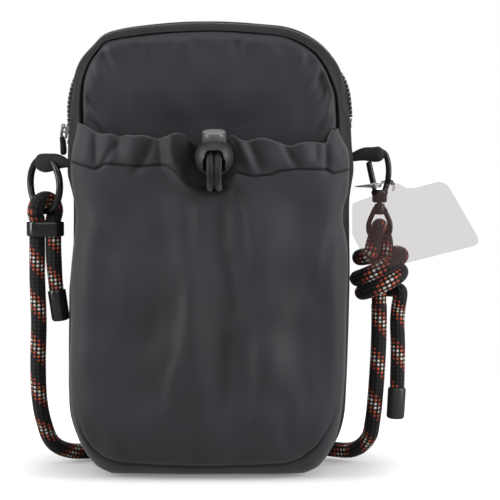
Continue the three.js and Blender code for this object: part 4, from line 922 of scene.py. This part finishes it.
ball_profile = [(max(x, 0.001), z) for x, z in arc_points(0, 0, BALL, -90, 90, 49)]
ball = make("lock_ball", *lathe_data(ball_profile, LOCK, 80), SATIN)
bore_profile = [(0.001, -7.5), (3.2, -7.5), (3.2, -5.7), (5.6, -5.7), (5.6, 12), (0.001, 12)]
bore = make("t1", *lathe_data(bore_profile, LOCK, 64), SATIN)
cross = cutter("t2", arc_points(1.9, 1.5, 2.35, -90, 90, 12) + arc_points(-1.9, 1.5, 2.35, 90, 270, 12))
arch_line = [(-5.1, -5.6), (-4.3, -6.3), (4.3, -6.3), (5.1, -5.6)] + arc_points(0, -2.0, 5.15, 0, 180, 24)
cut_by(ball, bore, cross, cutter("t3", arch_line, y1=LOCK[1] - 2.5))
ball.data.materials.append(INNER_SHADE.mat)
# The bores are painted near black: painted shade inside the ball
for f in ball.data.polygons:
    f.material_index = int((f.center / MM - Vector(LOCK)).length < BALL - 1.6)
ball.data.shade_smooth()
ball.data.set_sharp_from_angle(angle=math.radians(35))
bevel(ball, 0.35, 40)
done(ball, "cord_lock", "lock_body", slot="satin_plastic")

bv, bf = lathe_data([
    (0.001, -2.5), (4.9, -2.5), (5.2, -2.2), (5.2, 4.6), (5.5, 5.2), (5.5, 11.2), (5.45, 11.8), (5.2, 12.15), (4.8, 12.35),
    (4.1, 12.4), (0.001, 12.4),
], LOCK, 64)
# The end face leans a little to the front
bv[:, 2] += np.where(bv[:, 2] > LOCK[2] + 11, 0.13 * (bv[:, 1] - LOCK[1]) - 0.45, 0)
button = make("lock_button_top", bv, bf, BUTTON, sharp=45)
slot_line = [(-3.9, -0.4), (3.9, -0.4), (4.4, 0.1), (4.4, 6), (3.9, 6.5), (-3.9, 6.5), (-4.4, 6), (-4.4, 0.1)]
cut_by(button, cutter("t4", slot_line))
button.data.materials.append(INNER_SHADE.mat)
button.data.materials.append(BUTTON_LIT_TOP.mat)
# The slotted stem is painted near black, as painted shade, and the end face lighter, as painted light from above
for f in button.data.polygons:
    up = f.center.z / MM - LOCK[2]
    f.material_index = 1 if up < 4.8 else 2 if f.normal.z > 0.8 else 0
done(button, "lock_button", "lock_plunger", slot="gunmetal")
curl = np.linspace(0, 3, 73)
curl_line = np.column_stack([2.4 * np.cos(2 * np.pi * curl), 2.4 * np.sin(2 * np.pi * curl), -6.95 + 1.3 * curl])
spring = tube("lock_coil", LOCK + curl_line, 0.3, STEEL, 10)
done(spring, "cord_lock", "lock_spring", slot="steel")
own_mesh(spring)


def drawcord(side):
    """From the hem through the lock, over its lip and down into the pit."""
    in_hem = []
    for a in np.radians([16, 26, 36, 46, 56, 66, 75]):
        x, y = CORD_HALF * math.cos(a) ** (2 / 3), (HEM_BULGE - 2.7) * math.sin(a) ** (2 / 3) - 0.6
        in_hem.append((side * x, SEWN_Y - y, CORD_Z - 3))
    # (outwards, y, height) from the cord's place in the lock
    way = [(13, -27.6, -2), (7, -25.8, -1), (2, -28, 0), (0, -33, 0), (0, LOCK[1], 0), (0, -47.4, -0.2), (0, -49.9, -2.0),
           (-0.1, -51.3, -5.4), (-0.15, -51.0, -8), (-0.3, -48.2, -11.4), (-0.2, -42.6, -14.2), (0, -34.6, -16.4),
           (0, -25, -18)]
    return smooth_line([*in_hem, *[(LOCK[0] + side * (1.95 + x), y, CORD_Z + z) for x, y, z in way]], 0.8)


for side, name in ((-1, "left"), (1, "right")):
    o = tube(f"cord_{name}", drawcord(side), 1.65, CORD, 16)
    bending(o, f"drawcord_{name}")


# ---------------------------------------------------------------- ring, tabs, hook, eye and tag
turns = circle(96)[:, None]
ring = tube("ring_round", RING + RING_RADIUS * (np.cos(turns) * D_RING + np.sin(turns) * UP), 1.65, BLACK_METAL, 20, True)
done(ring, "ring", "left_ring", slot="black_metal")


def squared(a, power):
    """Cosine and sine of angles, drawn out towards the corners of a square."""
    return (np.sign(v) * np.abs(v) ** power for v in (np.cos(a), np.sin(a)))


def soft_tab(sections, n, steps):
    """A soft sleeve through (x, y, z, half thickness, half height) sections, closed and rounded at both ends."""
    s = smooth_line(sections, 1.0)
    k = np.linspace(0, len(s) - 1, steps)
    s = np.stack([np.interp(k, range(len(s)), s[:, c]) for c in range(5)], 1)
    run = unit(np.gradient(s[:, :2], axis=0))
    side = np.stack([-run[:, 1], run[:, 0]], 1)
    end = np.minimum(k, k[::-1]) / k[-1]
    grow = np.sqrt(np.clip(1 - (1 - np.clip(end / 0.15714, 0, 1)) ** 2, 0.02, 1))
    ca, sa = squared(circle(n), 0.75)
    out = np.zeros((steps, n, 3))
    out[..., :2] = s[:, None, :2] + side[:, None] * (s[:, 3] * grow)[:, None, None] * ca[None, :, None]
    out[..., 2] = s[:, 2:3] + (s[:, 4] * grow)[:, None] * sa[None]
    return out


def tab_piece(name, sections, node):
    n, m = 48, 36
    p = soft_tab(sections, m, n)
    faces = grid_faces(n, m, False, True)
    uv = grid_uv(p, faces)
    faces += end_faces(n, m)
    uv += [(0, 0)] * (2 * m)
    verts = p.reshape(-1, 3)
    o = make(name, verts + ruffle(verts, 0.25, 0.16, 5.0), faces, WEBBING, uv)
    done(o, "bag", node, slot="webbing")


tab_piece("tab_loop_left", [
    (-62.6, -13.0, 147.4, 1.2, 1.7), (-65.6, -12.3, 147.5, 1.3, 1.8), (-68, -11.0, 148.2, 1.6, 2.7),
    (-71.7, -8.5, 148.3, 2.3, 3.7), (-76.4, -5.0, 147.3, 3.2, 4.5), (-79.7, -1.9, 147.4, 3.2, 3.8),
    (-81.3, -0.2, 147.4, 2.6, 2.6),
], "tab_left")
tab_piece("tab_loop_right", [
    (62.4, 0, 148.9, 1.6, 1.8), (67.2, 0, 149.6, 1.7, 2.1), (70.2, 0, 150.5, 2.2, 2.7), (73.1, 0, 151.0, 2.6, 3.2),
    (77.3, 0, 150.9, 3.0, 3.6), (80.2, 0, 151.1, 3.2, 3.5), (82.6, 0, 150.8, 2.8, 2.6),
], "tab_right")

HOOK_AXIS = (HOOK[0], 0, 0)
frame_line = smooth_line([(HOOK[0] + x, 0, HOOK[2] + z) for x, z in (
    (1.9, -18), (3.1, -14.5), (4.1, -9.8), (4, -4.1), (2.5, 0.7), (-0.7, 2.3), (-4, 1), (-5.1, -1.8))], 0.6)
neck = lathe_data([
    (1.5, 128.2), (2.8, 128.2), (3.3, 128.4), (3.5, 128.9), (3.5, 131.2), (3.75, 132.0), (3.95, 132.8), (3.9, 133.6),
    (3.5, 134.2), (2.6, 134.4), (0.001, 134.4)], HOOK_AXIS, 48)
hook = merged("hook_body", [tube_data(frame_line, 1.4, 18)[:2], neck], BLACK_METAL, sharp=50)
done(hook, "hook", "hook_frame", slot="black_metal")

GATE_X, GATE_Z = 78.0, 132.8
gate_line = smooth_line([(GATE_X, 0, 134.4), (76.9, 0, 138.6), (75.9, 0, 143), (75.0, 0, 147.6)], 0.6)
gate_radius = 1.45 * np.sqrt(np.clip(1 - np.linspace(-0.9, 1, len(gate_line)) ** 16 * 0.6, 0.05, 1))
# The gate's foot is an eye on its pin: (radius, y) sections
foot_a = circle(32)
foot_rim = np.stack([np.cos(foot_a), np.sin(foot_a)], 1)
foot = np.vstack([upright((GATE_X, GATE_Z) + r * foot_rim, y) for r, y in (
    (0.7, -1.4), (1.4, -1.4), (1.65, -1.2), (1.65, 1.2), (1.4, 1.4), (0.7, 1.4))])
gate_parts = [tube_data(gate_line, gate_radius, 18)[:2], (foot, grid_faces(6, 32, True, True, True))]
done(merged("gate_bar", gate_parts, BLACK_METAL, sharp=50), "gate", "hook_gate", slot="black_metal")

eye_half = [(2.0, 125.3), (3.4, 122.3), (4.85, 118.8), (5.1, 115.6), (4.3, 113.0)]
eye_loop = [(0, 126.05), *eye_half, (0, 111.7), *[(-x, z) for x, z in eye_half[::-1]]]
eye_line = smooth_line([(HOOK[0] + x, 0, z) for x, z in eye_loop], 0.7, True)
barrel = lathe_data([
    (0.001, 122.5), (2.0, 122.5), (2.4, 122.8), (2.5, 123.3), (2.5, 126.8), (2.35, 127.4), (2.0, 127.75), (1.2, 127.75),
    (1.2, 130.4), (0.001, 130.4)], HOOK_AXIS, 40)
eye = merged("swivel_loop", [tube_data(eye_line, 1.2, 18, True)[:2], barrel], BLACK_METAL, sharp=50)
done(eye, "swivel", "swivel_eye", slot="black_metal")


# Clear tag: a rounded plate with a bump on its top edge and a tongue looped round the hook
def tag_y(z):
    """The plate leans: its front face by the height."""
    return -14.9 - (134.4 - z) * 0.05


def rounded(corners, n=10):
    """A closed line through (x, z, radius) corners."""
    out = []
    c = np.array(corners)
    t = np.linspace(0, 1, n)[:, None]
    for p, before, after in zip(c, np.roll(c, 1, 0), np.roll(c, -1, 0)):
        ends = np.array([before, after])[:, :2] - p[:2]
        a, b = p[:2] + p[2] * unit(ends)
        out.append((1 - t) ** 2 * a + 2 * t * (1 - t) * p[:2] + t**2 * b)
    return np.vstack(out)


tag_line = rounded([
    (66.8, 129.2, 1.6), (66.8, 114.6, 1.6), (76.1, 97.3, 4.5), (127.5, 110.2, 5.0), (110, 140.3, 5.0), (93.4, 135.8, 3.4),
    (87.4, 139, 2.0), (83.8, 138.8, 1.6), (81.5, 134.8, 2.0),
])
centre = tag_line.mean(0)
tag_rows = []
for grow, back in ((0.998, 0.0), (1.0, 0.12), (1.0, 0.48), (0.998, 0.6)):
    q = centre + grow * (tag_line - centre)
    tag_rows.append(upright(q, tag_y(q[:, 1]) + back))
tag_faces = grid_faces(4, len(tag_line), False, True) + end_faces(4, len(tag_line))
plate = (np.vstack(tag_rows), tag_faces)


def ribbon(line, wide, thick):
    """A flat strip along a line: wide gives the half width direction at each point."""
    up = thick * unit(np.cross(unit(np.gradient(line, axis=0)), wide))
    rows = np.stack([line - wide + up, line + wide + up, line + wide - up, line - wide - up], 1)
    return rows.reshape(-1, 3), grid_faces(len(line), 4, False, True) + end_faces(len(line), 4)


tongue_line = smooth_line([
    (85.8, -14.8, 136.4), (86.6, -11.5, 137.4), (86.9, -7, 137.4), (86.8, -2, 137.5), (85.6, 2.6, 137.6), (83.2, 3.9, 137.7),
    (81.4, 2.6, 137.6), (80.85, 0, 137.3), (80.5, -2.6, 137), (79, -4.6, 136.7), (76, -5, 136.5), (73, -4.4, 136.3),
    (70.6, -3.4, 136.1), (68.4, -2.6, 135.9),
], 0.5)
far = np.linspace(0, 1, len(tongue_line))
# Narrower where it passes the hook and at its tip, twisted towards the tip
half = 1.4 * np.clip((1 - far) / 0.2, 0.06, 1) * (1 - 0.45 * bell((tongue_line[:, 0] - 82.4) / 2.4))
lean = ease(far, 0.72, 0.85)
tongue_wide = np.column_stack([np.zeros(len(far)), -half * np.sin(lean), half * np.cos(lean)])
tag = merged("tag_clear", [plate, ribbon(tongue_line, tongue_wide, 0.3)], CLEAR, sharp=40)
# The tongue takes the clear plastic with painted glints
tag.data.materials.append(FOLDED_GLINTS.mat)
for f in tag.data.polygons:
    f.material_index = int(f.index >= len(tag_faces))
done(tag, "tag", "clear_tag", slot="clear_plastic")

# ---------------------------------------------------------------- zip slider and pull
for node, paint in (("zip_stop_left", GUNMETAL), ("zip_stop_right", GUNMETAL), ("gate_pin", STEEL)):
    NODES[node].data.materials.clear()
    NODES[node].data.materials.append(paint.mat)
    if paint is GUNMETAL:
        bevel(NODES[node], 0.2)
SLIDER_X, SLIDER_Z = -66.0, 161.75


def slab(outline, x0, x1):
    """A closed (y, z) outline about the slider's middle, pushed along X."""
    q = np.array(outline) + (0, SLIDER_Z)
    n = len(q)
    verts = np.vstack([np.column_stack([np.full(n, SLIDER_X + x), q]) for x in (x0, x1)])
    return verts, grid_faces(2, n, False, True, True) + end_faces(2, n)


wing = [(2.3, -3.1), (3.4, -1.2), (3.9, 0.4), (3.9, 2.4), (3.2, 3.1)]
wings = [(-2.3, -3.1), *wing, *[(-y, z) for y, z in wing[:0:-1]]]
flank = [(3.15, -1.0), (3.9, 0.4), (3.9, 2.4), (3.15, 2.9)]
flanks = [flank, [(-y, z) for y, z in flank[::-1]]]
bail = smooth_line([(-66.9, 0, 161.2), (-69.3, 0, 161.8), (-69.7, 0, 163.4), (-69.3, 0, 165.0), (-67.4, 0, 164.3)], 0.4)
slider = merged("slider_body", [
    slab(wings, -1.95, -1.1), *[slab(f, -1.3, 0.2) for f in flanks], tube_data(bail, 0.5, 14)[:2]], SLIDER, sharp=40)
bevel(slider, 0.25)
done(slider, "slider", "zip_slider", slot="gunmetal")

# The pull: a wire link from the bail to a grip of (z, middle x, half thickness, half width) sections
LINK_X, LINK_Z = -68.6, 163.66
link_half = [(-0.9, 2.3, -5.6), (-1.2, 2.4, -2.4), (-0.45, 1.8, -0.3)]
link_way = [(x, -y, z) for x, y, z in link_half] + [(0, 0, 0)] + link_half[::-1]
link_line = smooth_line([(LINK_X + x, y, LINK_Z + z) for x, y, z in link_way], 0.4)
done(tube("pull_wire", link_line, 0.55, GUNMETAL, 14), "pull", "pull_link", slot="gunmetal")
GRIP = [(159.4, -69.55, 0.75, 3.3), (159, -69.5, 1.1, 3.8), (157.5, -69.2, 1.3, 3.8), (155, -69, 1.4, 3.8),
        (153, -68.9, 1.45, 3.8), (151.6, -68.9, 1.4, 3.8), (150.9, -68.9, 0.9, 3.3)]
ca, sa = squared(circle(32), 0.5)
grip = np.vstack([np.column_stack([cx + half * ca, wide * sa, np.full(32, z)]) for z, cx, half, wide in GRIP])
grip_faces = grid_faces(len(GRIP), 32, False, True) + end_faces(len(GRIP), 32)
done(make("pull_grip", grip, grip_faces, WEBBING, sharp=45), "pull", "pull_tab", slot="webbing")


# ---------------------------------------------------------------- stage, camera and light
# A white floor with a soft painted shadow near the bag, where its glow is dimmed, dull to all but the camera
floor_paint = Paint("floor_white", (0, 0, 0), 0.95, spec=0.0)
floor_paint.set("Base Color", (0.86, 0.86, 0.86, 1.0))
FAR, FLOOR_Z = 1500, -0.2
corners = [(x * FAR, y * FAR, FLOOR_Z) for x, y in ((-1, -1), (1, -1), (1, 1), (-1, 1))]
make("floor", corners, [(0, 1, 2, 3)], floor_paint)
floor_paint.set("Emission Strength", 0.55)
fx, fy = floor_paint.plane("ShaderNodeTexCoord", "Object")
# Painted shadow: the floor's glow falls to about a third within a few centimetres of the bag's footprint
past_x, past_y = (fx.abs() - 0.055).at_least(0.0), (fy.abs() - 0.012).at_least(0.0)
past_painted_shadow = (past_x * past_x + past_y * past_y).sqrt().step(0.012, 0.06)
floor_paint.set("Emission Color", floor_paint.mix(past_painted_shadow, (0.32, 0.32, 0.32), (1.0, 1.0, 1.0)))
away = (fx * fx + fy * fy).sqrt().step(0.16, 0.3)
white = floor_paint.node("ShaderNodeEmission", Strength=1.0).outputs[0]
dull = floor_paint.node("ShaderNodeBsdfDiffuse", Color=(0.4, 0.4, 0.4, 1.0)).outputs[0]
seen = floor_paint.node("ShaderNodeLightPath").outputs["Is Camera Ray"]
near = mix_shader(floor_paint.tree, away.out, floor_paint.shader.outputs[0], white)
floor_paint.show(mix_shader(floor_paint.tree, seen, dull, near))

# White behind all for the camera, and a little light from all round
scene = bpy.context.scene
scene.world = bpy.data.worlds.new("white")
scene.world.use_nodes = True
tree = scene.world.node_tree
lit, shown = tree.nodes["Background"], tree.nodes.new("ShaderNodeBackground")
for node, strength in ((lit, 0.28), (shown, 1.0)):
    node.inputs["Color"].default_value = (1, 1, 1, 1)
    node.inputs["Strength"].default_value = strength
seen = tree.nodes.new("ShaderNodeLightPath").outputs["Is Camera Ray"]
tree.links.new(mix_shader(tree, seen, lit.outputs[0], shown.outputs[0]), tree.nodes["World Output"].inputs[0])


def aimed(name, data, at, look):
    """An object for a lamp or camera, turned to look at a point."""
    o = bpy.data.objects.new(name, data)
    scene.collection.objects.link(o)
    o.location = at
    o.rotation_euler = (Vector(look) - Vector(at)).to_track_quat("-Z", "Y").to_euler()
    return o


for name, at, look, size, power in (
    ("side_left", (-0.9, -0.3, 0.3), (0, 0, 0.12), (0.35, 0.9), 7.5),
    ("side_right", (0.9, -0.3, 0.3), (0, 0, 0.12), (0.35, 0.9), 8.0),
    ("over_top", (0.0, -0.3, 0.95), (0, 0, 0.1), (1.2, 0.7), 3.4),
    ("from_front", (0.0, -1.6, 0.7), (0, 0, 0.1), (1.2, 0.8), 4.0),
    ("from_back", (0.0, 1.6, 0.3), (0, 0, 0.1), (1.2, 0.5), 11.0),
):
    lamp = bpy.data.lights.new(name, "AREA")
    lamp.shape, lamp.size, lamp.size_y, lamp.energy = "RECTANGLE", *size, power
    aimed(name, lamp, at, look)

LOOK, CAMERA_FAR, FIELD = Vector((0.019, -0.01, 0.1067)), 1.4, 0.235
up = math.radians(7)
lens = bpy.data.cameras.new("camera")
lens.sensor_width, lens.lens, lens.clip_start = 36, 36 * CAMERA_FAR / FIELD, 0.05
scene.camera = aimed("camera", lens, LOOK + Vector((0, -math.cos(up), math.sin(up))) * CAMERA_FAR, LOOK)
scene.view_settings.view_transform = "Standard"
